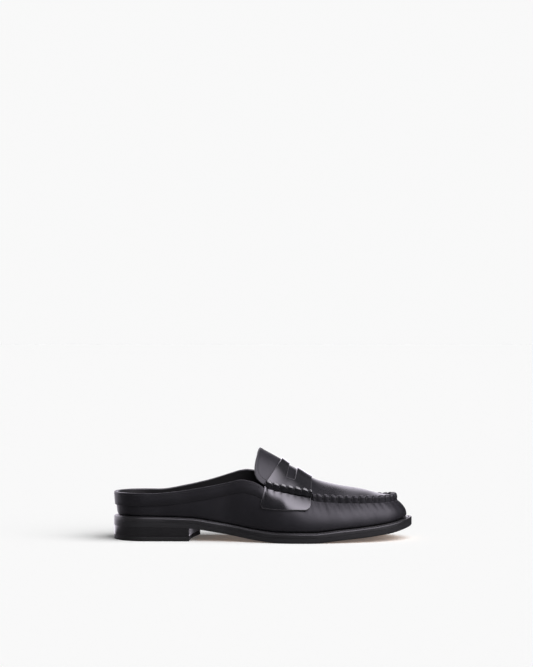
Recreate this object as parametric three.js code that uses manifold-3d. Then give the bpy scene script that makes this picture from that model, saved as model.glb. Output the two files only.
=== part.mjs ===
// A right-foot penny loafer mule with a low back, standing empty on its sole.
// Lengths are in millimetres: the toe points along +X, the inner side of the foot is +Y, the floor is Z = 0.

import * as THREE from "three";
import { mergeVertices } from "three/addons/utils/BufferGeometryUtils.js";
import Module from "manifold-3d";

const wasm = await Module();
wasm.setup();

// Sizes of the sole and heel
const shoeLength = 268;
const ballWidth = 93;
const toeCapLength = 84;
const heelCapLength = 31;
const heelLift = 12.6;
const toeSpring = 12;
const topLiftThickness = 4;
const outsoleThickness = 4.7;
const heelInset = 0.2;
const breastSkew = 3;
const breastHollow = 2;

// Sizes of the welt and insole
const weltThickness = 3;
const weltSlope = 1.2;
const weltReach = 12;
const ledgeWidth = 4.8;
const insoleThickness = 3;

// Sizes of the upper
const wallThickness = 2.2;
const wallHeight = 41.3;
const wallBulge = 0.8;
const seamInset = 15;
const apronEdgeHeight = 3.8;
const archHeight = 22.7;
const tongueLength = 20.6;
const tongueSlope = 28.5;
const ridgeHeight = 5.8;
const ridgeWidth = 4;
const ridgeProud = 0.4;

// Sizes of the overlays
const saddleThickness = 1.6;
const saddleRidgeShift = 1.2;
const rearCornerRadius = 4;
const frontCornerRadius = 5.5;
const slotCornerRadius = 2;
const bandThickness = 1;
const bandWidth = 11.5;

// Running gap between curved pieces, how far the apron and ridge are sunk into the wall, and their web's inset there
const gap = 0.3;
const sunk = 1.5;
const webInset = 0.2;

// Exponents of the rounded forms: 2 is an ellipse, and a larger number is squarer
const toeRoundness = 2.15;
const toeSquaring = 0.03;
const heelRoundness = 2.1;
const wallRoll = 1.9;
const archRoundness = 2.2;
const tongueRoundness = 2.9;

// Places along the shoe, as shares of its length from the heel
const breastAt = 0.272;
const throatAt = 0.512;

// Outline of the sole seen from above: its axis and its half width, as shares of half the ball width
const plan = [
  { at: 0.0, axis: 0.0, half: 0.67 },
  { at: 0.13, axis: 0.0, half: 0.668 },
  { at: 0.25, axis: -0.01, half: 0.64 },
  { at: 0.37, axis: -0.045, half: 0.625 },
  { at: 0.47, axis: -0.07, half: 0.745 },
  { at: 0.58, axis: -0.05, half: 0.93 },
  { at: 0.66, axis: 0.0, half: 0.992 },
  { at: 0.75, axis: 0.045, half: 0.975 },
  { at: 0.87, axis: 0.09, half: 0.94 },
  { at: 1.0, axis: 0.11, half: 0.9 },
];

// Underside of the outsole: shares of the heel lift and of the toe spring
const underside = [
  { at: 0.0, heel: 1.0, toe: 0.0 },
  { at: 0.13, heel: 0.985, toe: 0.0 },
  { at: 0.26, heel: 0.905, toe: 0.0 },
  { at: 0.35, heel: 0.635, toe: 0.0 },
  { at: 0.42, heel: 0.38, toe: 0.0 },
  { at: 0.49, heel: 0.13, toe: 0.0 },
  { at: 0.56, heel: 0.0, toe: 0.0 },
  { at: 0.67, heel: 0.0, toe: 0.0 },
  { at: 0.76, heel: 0.0, toe: 0.19 },
  { at: 0.85, heel: 0.0, toe: 0.37 },
  { at: 0.93, heel: 0.0, toe: 0.6 },
  { at: 1.0, heel: 0.0, toe: 1.0 },
];

// Side wall: the ledge left on the welt, and the inset of its top edge from the sole's outline on each side
const wallInsets = [
  { at: 0.0, ledge: 0.69, outer: 0.085, inner: 0.085 },
  { at: 0.13, ledge: 0.66, outer: 0.2, inner: 0.2 },
  { at: 0.25, ledge: 0.6, outer: 0.2, inner: 0.2 },
  { at: 0.37, ledge: 0.55, outer: 0.27, inner: 0.15 },
  { at: 0.45, ledge: 0.62, outer: 0.5, inner: 0.35 },
  { at: 0.51, ledge: 0.72, outer: 0.62, inner: 0.5 },
  { at: 0.58, ledge: 0.85, outer: 0.84, inner: 0.76 },
  { at: 0.66, ledge: 0.9, outer: 1.0, inner: 1.0 },
  { at: 0.78, ledge: 0.96, outer: 1.0, inner: 1.05 },
  { at: 0.9, ledge: 1.0, outer: 0.9, inner: 0.95 },
  { at: 1.0, ledge: 1.0, outer: 0.91, inner: 0.91 },
];

// Side wall: height of its top edge above the welt on each side, as shares of the wall height
const wallTops = [
  { at: 0.0, outer: 0.49, inner: 0.49 },
  { at: 0.13, outer: 0.495, inner: 0.485 },
  { at: 0.24, outer: 0.58, inner: 0.615 },
  { at: 0.29, outer: 0.66, inner: 0.715 },
  { at: 0.35, outer: 0.795, inner: 0.885 },
  { at: 0.393, outer: 0.9, inner: 1.02 },
  { at: 0.42, outer: 0.973, inner: 1.1 },
  { at: 0.447, outer: 1.0, inner: 1.145 },
  { at: 0.468, outer: 0.995, inner: 1.15 },
  { at: 0.485, outer: 0.973, inner: 1.13 },
  { at: 0.5, outer: 0.93, inner: 1.085 },
  { at: 0.512, outer: 0.875, inner: 1.0 },
  { at: 0.593, outer: 0.775, inner: 0.86 },
  { at: 0.666, outer: 0.695, inner: 0.74 },
  { at: 0.784, outer: 0.555, inner: 0.565 },
  { at: 0.873, outer: 0.493, inner: 0.5 },
  { at: 0.95, outer: 0.425, inner: 0.4 },
  { at: 1.0, outer: 0.36, inner: 0.36 },
];

// Apron: height of its arch over the seam as a share of the arch height, and its forward lean in degrees
const arch = [
  { at: 0.512, rise: 1.0, lean: 34 },
  { at: 0.593, rise: 0.77, lean: 28 },
  { at: 0.666, rise: 0.565, lean: 20 },
  { at: 0.784, rise: 0.4, lean: 11 },
  { at: 0.873, rise: 0.265, lean: 9 },
  { at: 0.95, rise: 0.1, lean: 5 },
  { at: 1.0, rise: 0.0, lean: 0 },
];

// Saddle strap seen from the side: places along the shoe, and heights above the welt as shares of the wall height
const saddleRear = [
  { at: 0.503, up: 0.475 },
  { at: 0.514, up: 1.027 },
  { at: 0.5653, up: 1.525 },
  { at: 0.593, up: 1.755 },
];
const saddleFront = [
  { at: 0.672, up: 1.755 },
  { at: 0.6665, up: 1.15 },
  { at: 0.663, up: 0.467 },
];
const slotRear = [
  { at: 0.601, up: 1.83 },
  { at: 0.5907, up: 1.37 },
  { at: 0.5835, up: 1.143 },
];
const slotFront = [
  { at: 0.611, up: 1.143 },
  { at: 0.6175, up: 1.37 },
  { at: 0.628, up: 1.83 },
];

// How far past the strap's edges the forms run that it is cut from, as a share of the shoe's length
const cutMargin = 0.02;
const strapRearAt = Math.min(...saddleRear.map((row) => row.at));
const strapFrontAt = Math.max(...saddleFront.map((row) => row.at));

// Numbers of facets
const stationsAround = 84;
const stationPull = 0.2;
const apronRows = 26;
const apronColumns = 16;
const tongueRows = 4;
const formRows = 10;
const ridgeRows = 44;
const bandRows = 58;
const heelRowsPast = 0.06;
const wallSteps = [0, 0.2, 0.4, 0.6, 0.76, 0.89, 1];

// Reads a column of a table between its rows, on a smooth curve that never overshoots them.
function through(table, column) {
  const secants = table.slice(1).map((row, i) => (row[column] - table[i][column]) / (row.at - table[i].at));
  const slopes = table.map((row, i) => {
    const before = secants[Math.max(i - 1, 0)];
    const after = secants[Math.min(i, secants.length - 1)];
    return before * after <= 0 ? 0 : (2 * before * after) / (before + after);
  });
  return (at) => {
    let i = 0;
    while (i < table.length - 2 && at > table[i + 1].at) {
      i += 1;
    }
    const width = table[i + 1].at - table[i].at;
    const s = THREE.MathUtils.clamp((at - table[i].at) / width, 0, 1);
    const start = table[i][column] * (1 + 2 * s) + slopes[i] * width * s;
    const end = table[i + 1][column] * (3 - 2 * s) - slopes[i + 1] * width * (1 - s);
    return start * (1 - s) ** 2 + end * s ** 2;
  };
}

const axisShare = through(plan, "axis");
const halfShare = through(plan, "half");
const heelShare = through(underside, "heel");
const toeShare = through(underside, "toe");
const ledgeShare = through(wallInsets, "ledge");
const insetShare = { outer: through(wallInsets, "outer"), inner: through(wallInsets, "inner") };
const topShare = { outer: through(wallTops, "outer"), inner: through(wallTops, "inner") };
const archShare = through(arch, "rise");
const archLean = through(arch, "lean");

// A point round the shoe is found by its angle: 0 is the toe, 0 to pi the inner side, pi to 2 pi the outer side.
const sideOf = (angle) => (Math.sin(angle) >= 0 ? "inner" : "outer");
const shareAlong = (angle) => (1 + Math.cos(angle)) / 2;
const angleAt = (at) => Math.acos(2 * at - 1);
const xAt = (at) => (at - 0.5) * shoeLength;

// One quarter of a rounded end: 1 where it starts, and exactly 0 at its tip, where both sides meet.
const tipShare = 1 - 1e-9;
const roundedEnd = (share, roundness) => (share > tipShare ? 0 : (1 - share ** roundness) ** (1 / roundness));

// The sole's outline drawn smaller by an inset, at an angle round the shoe.
function outline(angle, inset) {
  const x = (shoeLength / 2 - inset) * Math.cos(angle);
  const toeStart = shoeLength / 2 - toeCapLength;
  const heelStart = heelCapLength - shoeLength / 2;
  const at = x / shoeLength + 0.5;
  const side = sideOf(angle) === "inner" ? 1 : -1;
  let taper = 1;
  if (x > toeStart) {
    taper = roundedEnd((x - toeStart) / (toeCapLength - inset), toeRoundness + toeSquaring * inset);
  }
  if (x < heelStart) {
    taper = roundedEnd((heelStart - x) / (heelCapLength - inset), heelRoundness);
  }
  const half = (ballWidth / 2) * halfShare(at) - inset;
  return { x, y: (ballWidth / 2) * axisShare(at) + side * half * taper };
}

// Heights of the layers of the sole, which follow the outsole's underside along the shoe.
function soleBottom(x) {
  const at = x / shoeLength + 0.5;
  return heelLift * heelShare(at) + toeSpring * toeShare(at);
}
const soleTop = (x) => soleBottom(x) + outsoleThickness;
const weltBottom = (x) => soleTop(x) + gap;
const weltEdge = (x) => weltBottom(x) + weltThickness;
const weltTop = (x) => weltEdge(x) + weltSlope;
const upperFoot = (x) => weltTop(x) + gap;

const ledgeAt = (angle) => ledgeWidth * ledgeShare(shareAlong(angle));
const topInsetAt = (angle) => seamInset * insetShare[sideOf(angle)](shareAlong(angle));

// Height of the wall's top edge over the floor.
function topHeight(angle) {
  const foot = outline(angle, ledgeAt(angle));
  return upperFoot(foot.x) + wallHeight * topShare[sideOf(angle)](shareAlong(angle));
}

// Outer face of the side wall: rise 0 is its foot on the welt, 1 its top edge. It bulges, then rolls inwards.
function wall(angle, rise) {
  const ledge = ledgeAt(angle);
  const roll = (topInsetAt(angle) - ledge) * rise ** wallRoll;
  const spot = outline(angle, ledge + roll - wallBulge * 4 * rise * (1 - rise));
  const foot = upperFoot(outline(angle, ledge).x);
  return new THREE.Vector3(spot.x, spot.y, foot + (topHeight(angle) - foot) * rise);
}

// A point of the seam: a distance in from the wall's top edge, and a height over it.
function seam(angle, inward, up) {
  const spot = outline(angle, topInsetAt(angle) + inward);
  return new THREE.Vector3(spot.x, spot.y, topHeight(angle) + up);
}

const throat = angleAt(throatAt);
const tongueSlant = THREE.MathUtils.degToRad(tongueSlope);
const tongueWay = new THREE.Vector3(-Math.cos(tongueSlant), 0, Math.sin(tongueSlant));

// Upper face of the apron: across -1 is its outer edge and 1 its inner edge, both in the middle of the ridge.
// Behind the throat it runs on straight, up and back, the way that the tongue points.
function apron(across, angle) {
  const row = Math.min(angle, throat);
  const at = shareAlong(row);
  const outer = seam(2 * Math.PI - row, ridgeWidth / 2, apronEdgeHeight);
  const inner = seam(row, ridgeWidth / 2, apronEdgeHeight);
  const rise = archHeight * archShare(at) * (1 - Math.abs(across) ** archRoundness);
  const lean = THREE.MathUtils.degToRad(archLean(at));
  const point = outer.lerp(inner, (1 + across) / 2);
  point.add(new THREE.Vector3(rise * Math.sin(lean), 0, rise * Math.cos(lean)));
  return point.addScaledVector(tongueWay, shoeLength * (at - shareAlong(angle)));
}

// A point set off from a face along its normal. The normal is read just off the edge where a face ends in a point.
function setOff(face, first, second, distance) {
  const step = 1e-3;
  const low = Math.max(second, 0.03) - step;
  const firstWay = face(first + step, low).sub(face(first - step, low));
  const secondWay = face(first, low).sub(face(first, low - step));
  return face(first, second).addScaledVector(firstWay.cross(secondWay).normalize(), distance);
}

// The tongue runs on from the apron's last row to a rounded end.
function tongue(across, share, distance) {
  const reach = share * tongueLength * roundedEnd(Math.abs(across), tongueRoundness);
  return setOff(apron, across, throat, distance).addScaledVector(tongueWay, reach);
}

// Makes a solid from triangles given as corners: shared corners are merged and the faces turned outwards.
function solidOf(corners) {
  const loose = new THREE.BufferGeometry();
  const numbers = corners.flatMap((corner) => [corner.x, corner.y, corner.z]);
  loose.setAttribute("position", new THREE.Float32BufferAttribute(numbers, 3));
  return solidFrom(loose);
}

function solidFrom(geometry) {
  geometry.deleteAttribute("normal");
  geometry.deleteAttribute("uv");
  const merged = mergeVertices(geometry, 1e-3);
  const points = merged.attributes.position;
  const index = merged.index.array;
  const kept = [];
  let volume = 0;
  for (let i = 0; i < index.length; i += 3) {
    const [a, b, c] = [index[i], index[i + 1], index[i + 2]];
    if (a === b || b === c || c === a) {
      continue;
    }
    kept.push([a, b, c]);
    const [p, q, r] = [a, b, c].map((corner) => new THREE.Vector3().fromBufferAttribute(points, corner));
    volume += p.dot(q.cross(r));
  }
  const triVerts = new Uint32Array(kept.flatMap(([a, b, c]) => (volume > 0 ? [a, b, c] : [a, c, b])));
  const vertProperties = new Float32Array(points.array);
  return new wasm.Manifold(new wasm.Mesh({ numProp: 3, vertProperties, triVerts }));
}

// A solid between two grids of points with rows along it: both faces, the two long edges and the two end rows.
// A loop has no end rows, because its last row meets its first. A pointed one has no wall at its first row.
function between(over, under, { loop = false, pointed = false } = {}) {
  const corners = [];
  const quad = (a, b, c, d) => corners.push(a, b, c, a, c, d);
  const rows = over.length;
  const last = over[0].length - 1;
  for (let i = 0; i < (loop ? rows : rows - 1); i += 1) {
    const next = (i + 1) % rows;
    for (let j = 0; j < last; j += 1) {
      quad(over[i][j], over[next][j], over[next][j + 1], over[i][j + 1]);
      quad(under[i][j + 1], under[next][j + 1], under[next][j], under[i][j]);
    }
    quad(under[i][0], under[next][0], over[next][0], over[i][0]);
    quad(over[i][last], over[next][last], under[next][last], under[i][last]);
  }
  for (let j = 0; j < last && !loop; j += 1) {
    if (!pointed) {
      quad(over[0][j], over[0][j + 1], under[0][j + 1], under[0][j]);
    }
    quad(under[rows - 1][j], under[rows - 1][j + 1], over[rows - 1][j + 1], over[rows - 1][j]);
  }
  return solidOf(corners);
}

const spaced = (from, to, steps) => Array.from({ length: steps + 1 }, (_, i) => from + ((to - from) * i) / steps);

// Angles of the stations round the shoe, drawn together along its sides, with one on each side at the throat.
const stations = spaced(0, 2 * Math.PI, stationsAround)
  .slice(0, stationsAround)
  .map((turn) => turn + stationPull * Math.sin(2 * turn))
  .concat(throat, 2 * Math.PI - throat)
  .sort((a, b) => a - b);

// A layer under the foot: rows across the shoe between its two edges, from one angle to another.
function layer(angles, edge, topAt, bottomAt) {
  const row = (angle, heightAt) =>
    [2 * Math.PI - angle, angle].map((turn) => {
      const spot = edge(turn);
      return new THREE.Vector3(spot.x, spot.y, heightAt(spot.x));
    });
  const over = angles.map((angle) => row(angle, topAt));
  const under = angles.map((angle) => row(angle, bottomAt));
  return between(over, under);
}

const halfTurn = spaced(0, Math.PI, stationsAround / 2).map((turn) => turn + stationPull * Math.sin(2 * turn));

// A prism with its outline given from the side, as long across the shoe as the shoe is wide.
function sidePrism(shape) {
  const geometry = new THREE.ExtrudeGeometry(shape, { depth: 2 * ballWidth, bevelEnabled: false, curveSegments: 5 });
  geometry.rotateX(Math.PI / 2);
  geometry.translate(0, ballWidth, 0);
  return solidFrom(geometry);
}

// Turns rows of places and heights into points seen from the side, moved along and down by the two distances.
function sidePoints(rows, along, down) {
  return rows.map((row) => {
    const x = xAt(row.at);
    return new THREE.Vector2(x + along, upperFoot(x) + wallHeight * row.up - down);
  });
}

// A shape through points with straight sides. The corners that have a radius are rounded.
function roundedShape(points, radii) {
  const shape = new THREE.Shape();
  points.forEach((corner, i) => {
    const before = points[(i + points.length - 1) % points.length];
    const after = points[(i + 1) % points.length];
    const radius = radii[i] ?? 0;
    const entry = corner.clone().add(before.clone().sub(corner).setLength(radius));
    const exit = corner.clone().add(after.clone().sub(corner).setLength(radius));
    if (i === 0) {
      shape.moveTo(entry.x, entry.y);
    } else {
      shape.lineTo(entry.x, entry.y);
    }
    if (radius > 0) {
      shape.quadraticCurveTo(corner.x, corner.y, exit.x, exit.y);
    }
  });
  return shape;
}

// The strap's outline from the side, grown by a distance at its front, rear and lower edges.
function saddlePrism(grown) {
  const rear = sidePoints(saddleRear, -grown, 0);
  const front = sidePoints(saddleFront, grown, 0);
  rear[0].y -= grown;
  front[front.length - 1].y -= grown;
  const radii = [rearCornerRadius];
  radii[rear.length + front.length - 1] = frontCornerRadius;
  return sidePrism(roundedShape([...rear, ...front], radii));
}

function slotPrism() {
  const rear = sidePoints(slotRear, 0, 0);
  const front = sidePoints(slotFront, 0, 0);
  const radii = [];
  radii[rear.length - 1] = slotCornerRadius;
  radii[rear.length] = slotCornerRadius;
  return sidePrism(roundedShape([...rear, ...front], radii));
}

// The raised seam: an upright bead over the wall's top edge, moved outwards and up by a distance.
function ridge(angles, moved) {
  const middle = ridgeWidth / 2 - ridgeProud / 2 - moved;
  const half = (ridgeWidth + ridgeProud) / 2;
  const straight = ridgeHeight - half;
  const quarter = spaced(0, Math.PI / 2, 3).map((turn) => [Math.cos(turn), straight + half * Math.sin(turn)]);
  const section = [[1, -sunk], ...quarter];
  const face = (way) =>
    angles.map((angle) => section.map(([share, up]) => seam(angle, middle + way * share * half, up + moved)));
  return between(face(-1), face(1));
}

const acrossShares = spaced(-1, 1, apronColumns).map((share) => Math.sin((share * Math.PI) / 2));

// The apron and tongue as one sheet, with a web at each edge that stands in the wall.
function apronSheet() {
  const apronAngles = spaced(0, throat, apronRows);
  const face = (distance, inset) => {
    const rows = apronAngles.map((angle) => [
      seam(2 * Math.PI - angle, inset, -sunk),
      ...acrossShares.map((across) => setOff(apron, angle > 0 ? across : 0, angle, distance)),
      seam(angle, inset, -sunk),
    ]);
    const free = spaced(0, 1, tongueRows).slice(1);
    const tongueFace = free.map((share) => [
      tongue(-1, share, distance),
      ...acrossShares.map((across) => tongue(across, share, distance)),
      tongue(1, share, distance),
    ]);
    return [...rows, ...tongueFace];
  };
  return between(face(0, webInset), face(-wallThickness, wallThickness - webInset), { pointed: true });
}

// The wall round the whole shoe, open above and below.
function wallRing() {
  const face = (distance) =>
    stations.map((angle) => wallSteps.map((rise) => setOff(wall, angle, rise, distance)));
  return between(face(0), face(-wallThickness), { loop: true });
}

// The filled form of the shoe from just behind the throat to past the strap, grown by a distance.
function filledForm(distance) {
  const formStart = angleAt(strapFrontAt + cutMargin);
  const formEnd = angleAt(strapRearAt - cutMargin);
  const steps = wallSteps.slice(1);
  const angles = [...spaced(formStart, throat, formRows), ...spaced(throat, formEnd, 2).slice(1)];
  const rows = angles.map((angle) => [
    ...steps.map((rise) => setOff(wall, 2 * Math.PI - angle, rise, distance)),
    ...acrossShares.map((across) => setOff(apron, across, angle, distance)),
    ...steps.toReversed().map((rise) => setOff(wall, angle, rise, distance)),
  ]);
  const floor = rows.map((row) => {
    const first = row[0].clone().setZ(0);
    const final = row[row.length - 1].clone().setZ(0);
    return row.map((_, j) => first.clone().lerp(final, j / (row.length - 1)));
  });
  return between(rows, floor);
}

const largest = (solid) => solid.decompose().reduce((most, one) => (one.volume() > most.volume() ? one : most));

// Upper: the wall ring, the apron with its tongue, and the ridge from one edge of the strap round the toe.
function upperSolid() {
  const ridgeStart = angleAt(strapFrontAt - cutMargin);
  const turns = spaced(-ridgeStart, ridgeStart, ridgeRows);
  const ridgeAngles = turns.map((turn) => (turn < 0 ? turn + 2 * Math.PI : turn));
  const bead = ridge(ridgeAngles, 0).subtract(saddlePrism(gap));
  return wallRing().add(apronSheet()).add(bead);
}

// Saddle strap: the skin between two grown forms with the ridge sewn over it, cut to the strap's outline.
function saddleSolid() {
  const strapAngles = spaced(angleAt(strapFrontAt + cutMargin), angleAt(strapRearAt), formRows);
  const innerBead = ridge(strapAngles, saddleRidgeShift);
  const outerBead = ridge(strapAngles.map((angle) => 2 * Math.PI - angle), saddleRidgeShift);
  const skin = filledForm(gap + saddleThickness).add(innerBead).add(outerBead).subtract(filledForm(gap));
  return largest(skin.intersect(saddlePrism(0)).subtract(slotPrism()));
}

// Collar band: the top of the wall set off outwards, up to the strap on both sides.
function collarSolid() {
  const reach = angleAt(strapRearAt + cutMargin);
  const angles = spaced(reach, 2 * Math.PI - reach, bandRows);
  const face = (distance) =>
    angles.map((angle) => {
      const foot = upperFoot(outline(angle, ledgeAt(angle)).x);
      const start = 1 - bandWidth / (topHeight(angle) - foot);
      return spaced(start, 1, 3).map((rise) => setOff(wall, angle, rise, distance));
    });
  return largest(between(face(gap + bandThickness), face(gap)).subtract(saddlePrism(gap)));
}

// Welt: a strip round the whole sole, flat under the upper and falling away to its edge.
function weltSolid() {
  const face = (heights) =>
    stations.map((angle) => {
      const insets = [0, ledgeAt(angle), weltReach];
      return insets.map((inset, i) => {
        const spot = outline(angle, inset);
        return new THREE.Vector3(spot.x, spot.y, heights[i](spot.x));
      });
    });
  return between(face([weltEdge, weltTop, weltTop]), face([weltBottom, weltBottom, weltBottom]), { loop: true });
}

// Insole: the footbed inside the wall, with the filler that fills the welt's hollow.
function insoleSolid() {
  const footbedEdge = (angle) => setOff(wall, angle, 0, -wallThickness - gap);
  const fillerEdge = (angle) => outline(angle, weltReach + gap);
  const footbed = layer(halfTurn, footbedEdge, (x) => upperFoot(x) + insoleThickness, upperFoot);
  const filler = layer(halfTurn, fillerEdge, (x) => upperFoot(x) + gap, weltBottom);
  return footbed.add(filler);
}

// The heel's front is cut along a slanted, slightly hollow line seen from above.
function breastPrism() {
  const shape = new THREE.Shape();
  const width = ballWidth / 2;
  const points = spaced(-1, 1, 10).map((across) => {
    const heelHalf = across / halfShare(breastAt);
    const x = xAt(breastAt) + breastSkew * heelHalf - breastHollow * (1 - heelHalf ** 2);
    return new THREE.Vector2(x, across * width);
  });
  shape.setFromPoints([new THREE.Vector2(-shoeLength, -width), ...points, new THREE.Vector2(-shoeLength, width)]);
  const depth = 4 * heelLift;
  const geometry = new THREE.ExtrudeGeometry(shape, { depth, bevelEnabled: false });
  geometry.translate(0, 0, -heelLift);
  return solidFrom(geometry);
}

const heelEdge = (angle) => outline(angle, heelInset);
const heelAngles = halfTurn.filter((angle) => shareAlong(angle) < breastAt + heelRowsPast);

function heelSolid() {
  const block = layer(heelAngles, heelEdge, (x) => soleBottom(x) - gap, () => topLiftThickness);
  return block.intersect(breastPrism());
}

function topLiftSolid() {
  const block = layer(heelAngles, heelEdge, () => topLiftThickness, () => 0);
  return block.intersect(breastPrism());
}

function outsoleSolid() {
  return layer(halfTurn, (angle) => outline(angle, 0), soleTop, soleBottom);
}

// A named mesh of a solid, with its finish.
function piece(name, solid, finish) {
  const { vertProperties, triVerts } = solid.getMesh();
  const geometry = new THREE.BufferGeometry();
  geometry.setAttribute("position", new THREE.BufferAttribute(vertProperties, 3));
  geometry.setIndex(new THREE.BufferAttribute(triVerts, 1));
  geometry.computeVertexNormals();
  const mesh = new THREE.Mesh(geometry, new THREE.MeshStandardMaterial({ metalness: 0, ...finish }));
  mesh.name = name;
  return mesh;
}

const mule = new THREE.Group();
mule.add(
  piece("upper", upperSolid(), { color: 0x17171a, roughness: 0.42 }),
  piece("saddle", saddleSolid(), { color: 0x141417, roughness: 0.16 }),
  piece("collar_band", collarSolid(), { color: 0x18181b, roughness: 0.45 }),
  piece("insole", insoleSolid(), { color: 0x1b1a1a, roughness: 0.6 }),
  piece("welt", weltSolid(), { color: 0x151517, roughness: 0.4 }),
  piece("outsole", outsoleSolid(), { color: 0xb98a5c, roughness: 0.55 }),
  piece("heel", heelSolid(), { color: 0x131315, roughness: 0.32 }),
  piece("top_lift", topLiftSolid(), { color: 0x0f0f10, roughness: 0.7 }),
);

// The shoe stands with the middle of its width on the X axis.
const edgeY = stations.map((angle) => outline(angle, 0).y);
mule.position.y = -(Math.max(...edgeY) + Math.min(...edgeY)) / 2;

export default mule;
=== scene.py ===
import math

import bmesh
import bpy
import numpy as np
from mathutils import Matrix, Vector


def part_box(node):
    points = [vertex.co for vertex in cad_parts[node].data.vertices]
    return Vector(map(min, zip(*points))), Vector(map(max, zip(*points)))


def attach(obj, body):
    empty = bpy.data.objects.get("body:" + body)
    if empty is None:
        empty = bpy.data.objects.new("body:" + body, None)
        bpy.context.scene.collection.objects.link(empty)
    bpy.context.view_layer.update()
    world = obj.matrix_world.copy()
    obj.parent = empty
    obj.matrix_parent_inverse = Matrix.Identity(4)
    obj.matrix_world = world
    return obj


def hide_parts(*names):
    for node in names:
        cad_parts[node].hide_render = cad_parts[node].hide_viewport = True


# A right-foot penny loafer mule in black leather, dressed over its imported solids. Shapes are worked out
# in millimetres: the toe points along +X, the inner side of the foot is +Y, and the floor is Z = 0.
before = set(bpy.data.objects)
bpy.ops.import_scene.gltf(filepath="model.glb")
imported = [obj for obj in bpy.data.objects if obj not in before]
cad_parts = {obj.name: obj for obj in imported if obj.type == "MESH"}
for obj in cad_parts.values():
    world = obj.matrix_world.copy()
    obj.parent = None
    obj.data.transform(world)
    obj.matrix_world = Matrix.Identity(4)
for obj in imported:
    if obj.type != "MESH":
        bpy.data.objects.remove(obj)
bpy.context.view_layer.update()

# Side wall
# The vamp and quarters: one strip of smooth calf that stands round the whole foot, folded in at its foot
# and open along the collar. In front its top edge is gathered, so it puckers under every stitch of the
# seam.

millimetre = 0.001
sole_low, sole_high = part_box("outsole")
shoe_length = (sole_high.x - sole_low.x) / millimetre
ball_width = 93.0
toe_cap_length = 84.0
heel_cap_length = 31.0
toe_roundness = 2.15
toe_squaring = 0.03
heel_roundness = 2.1
gap = 0.3

# The sole's outline seen from above: its axis and half width, as shares of half the ball width.
sole_plan = {
    "at": [0.0, 0.13, 0.25, 0.37, 0.47, 0.58, 0.66, 0.75, 0.87, 1.0],
    "axis": [0.0, 0.0, -0.01, -0.045, -0.07, -0.05, 0.0, 0.045, 0.09, 0.11],
    "half": [0.67, 0.668, 0.64, 0.625, 0.745, 0.93, 0.992, 0.975, 0.94, 0.9],
}

# The underside of the sole: shares of the heel lift and of the toe spring.
heel_lift = 12.6
toe_spring = 12.0
underside = {
    "at": [0.0, 0.13, 0.26, 0.35, 0.42, 0.49, 0.56, 0.67, 0.76, 0.85, 0.93, 1.0],
    "heel": [1.0, 0.985, 0.905, 0.635, 0.38, 0.13, 0.0, 0.0, 0.0, 0.0, 0.0, 0.0],
    "toe": [0.0, 0.0, 0.0, 0.0, 0.0, 0.0, 0.0, 0.0, 0.19, 0.37, 0.6, 1.0],
}
outsole_thickness = 4.7
welt_thickness = 3.0
welt_slope = 1.2

# The wall: the ledge that it leaves on the welt, and how far its top edge lies in from the sole's
# outline.
ledge_width = 4.8
seam_inset = 15.0
wall_insets = {
    "at": [0.0, 0.13, 0.25, 0.37, 0.45, 0.51, 0.58, 0.66, 0.78, 0.9, 1.0],
    "ledge": [0.69, 0.66, 0.6, 0.55, 0.62, 0.72, 0.85, 0.9, 0.96, 1.0, 1.0],
    "outer": [0.085, 0.2, 0.2, 0.27, 0.5, 0.62, 0.84, 1.0, 1.0, 0.9, 0.91],
    "inner": [0.085, 0.2, 0.2, 0.15, 0.35, 0.5, 0.76, 1.0, 1.05, 0.95, 0.91],
}

# The wall: height of its top edge over the welt, as shares of the wall height.
wall_height = 41.3
wall_tops = {
    "at": [0.0, 0.13, 0.24, 0.29, 0.35, 0.393, 0.42, 0.447, 0.468, 0.485, 0.5, 0.512,
           0.593, 0.666, 0.784, 0.873, 0.95, 1.0],
    "outer": [0.49, 0.495, 0.58, 0.66, 0.795, 0.9, 0.973, 1.0, 0.995, 0.973, 0.93, 0.875,
              0.775, 0.695, 0.555, 0.493, 0.425, 0.36],
    "inner": [0.49, 0.485, 0.615, 0.715, 0.885, 1.02, 1.1, 1.145, 1.15, 1.13, 1.085, 1.0,
              0.86, 0.74, 0.565, 0.5, 0.4, 0.36],
}
wall_thickness = 2.2
wall_bulge = 0.8
wall_roll = 1.9


def through(table, column):
    """Reads a column between its rows: a cubic in each span, with harmonic mean slopes, so it never
    overshoots."""
    at = np.array(table["at"])
    values = np.array(table[column])
    secants = np.diff(values) / np.diff(at)
    before = np.concatenate([secants[:1], secants])
    after = np.concatenate([secants, secants[-1:]])
    level = before * after <= 0
    slopes = np.where(level, 0.0, 2 * before * after / np.where(level, 1.0, before + after))

    def read(places):
        places = np.asarray(places, float)
        span = np.clip(np.searchsorted(at, places) - 1, 0, len(at) - 2)
        width = at[span + 1] - at[span]
        share = np.clip((places - at[span]) / width, 0, 1)
        start = values[span] * (1 + 2 * share) + slopes[span] * width * share
        end = values[span + 1] * (3 - 2 * share) - slopes[span + 1] * width * (1 - share)
        return start * (1 - share) ** 2 + end * share**2

    return read


axis_share = through(sole_plan, "axis")
half_share = through(sole_plan, "half")
heel_share = through(underside, "heel")
toe_share = through(underside, "toe")
ledge_share = through(wall_insets, "ledge")
outer_inset_share = through(wall_insets, "outer")
inner_inset_share = through(wall_insets, "inner")
outer_top_share = through(wall_tops, "outer")
inner_top_share = through(wall_tops, "inner")


def rounded_end(share, roundness):
    """One quarter of a superellipse: 1 at share 0 and before it, and 0 at share 1."""
    return (1 - np.clip(share, 0, 1) ** roundness) ** (1 / roundness)


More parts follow.
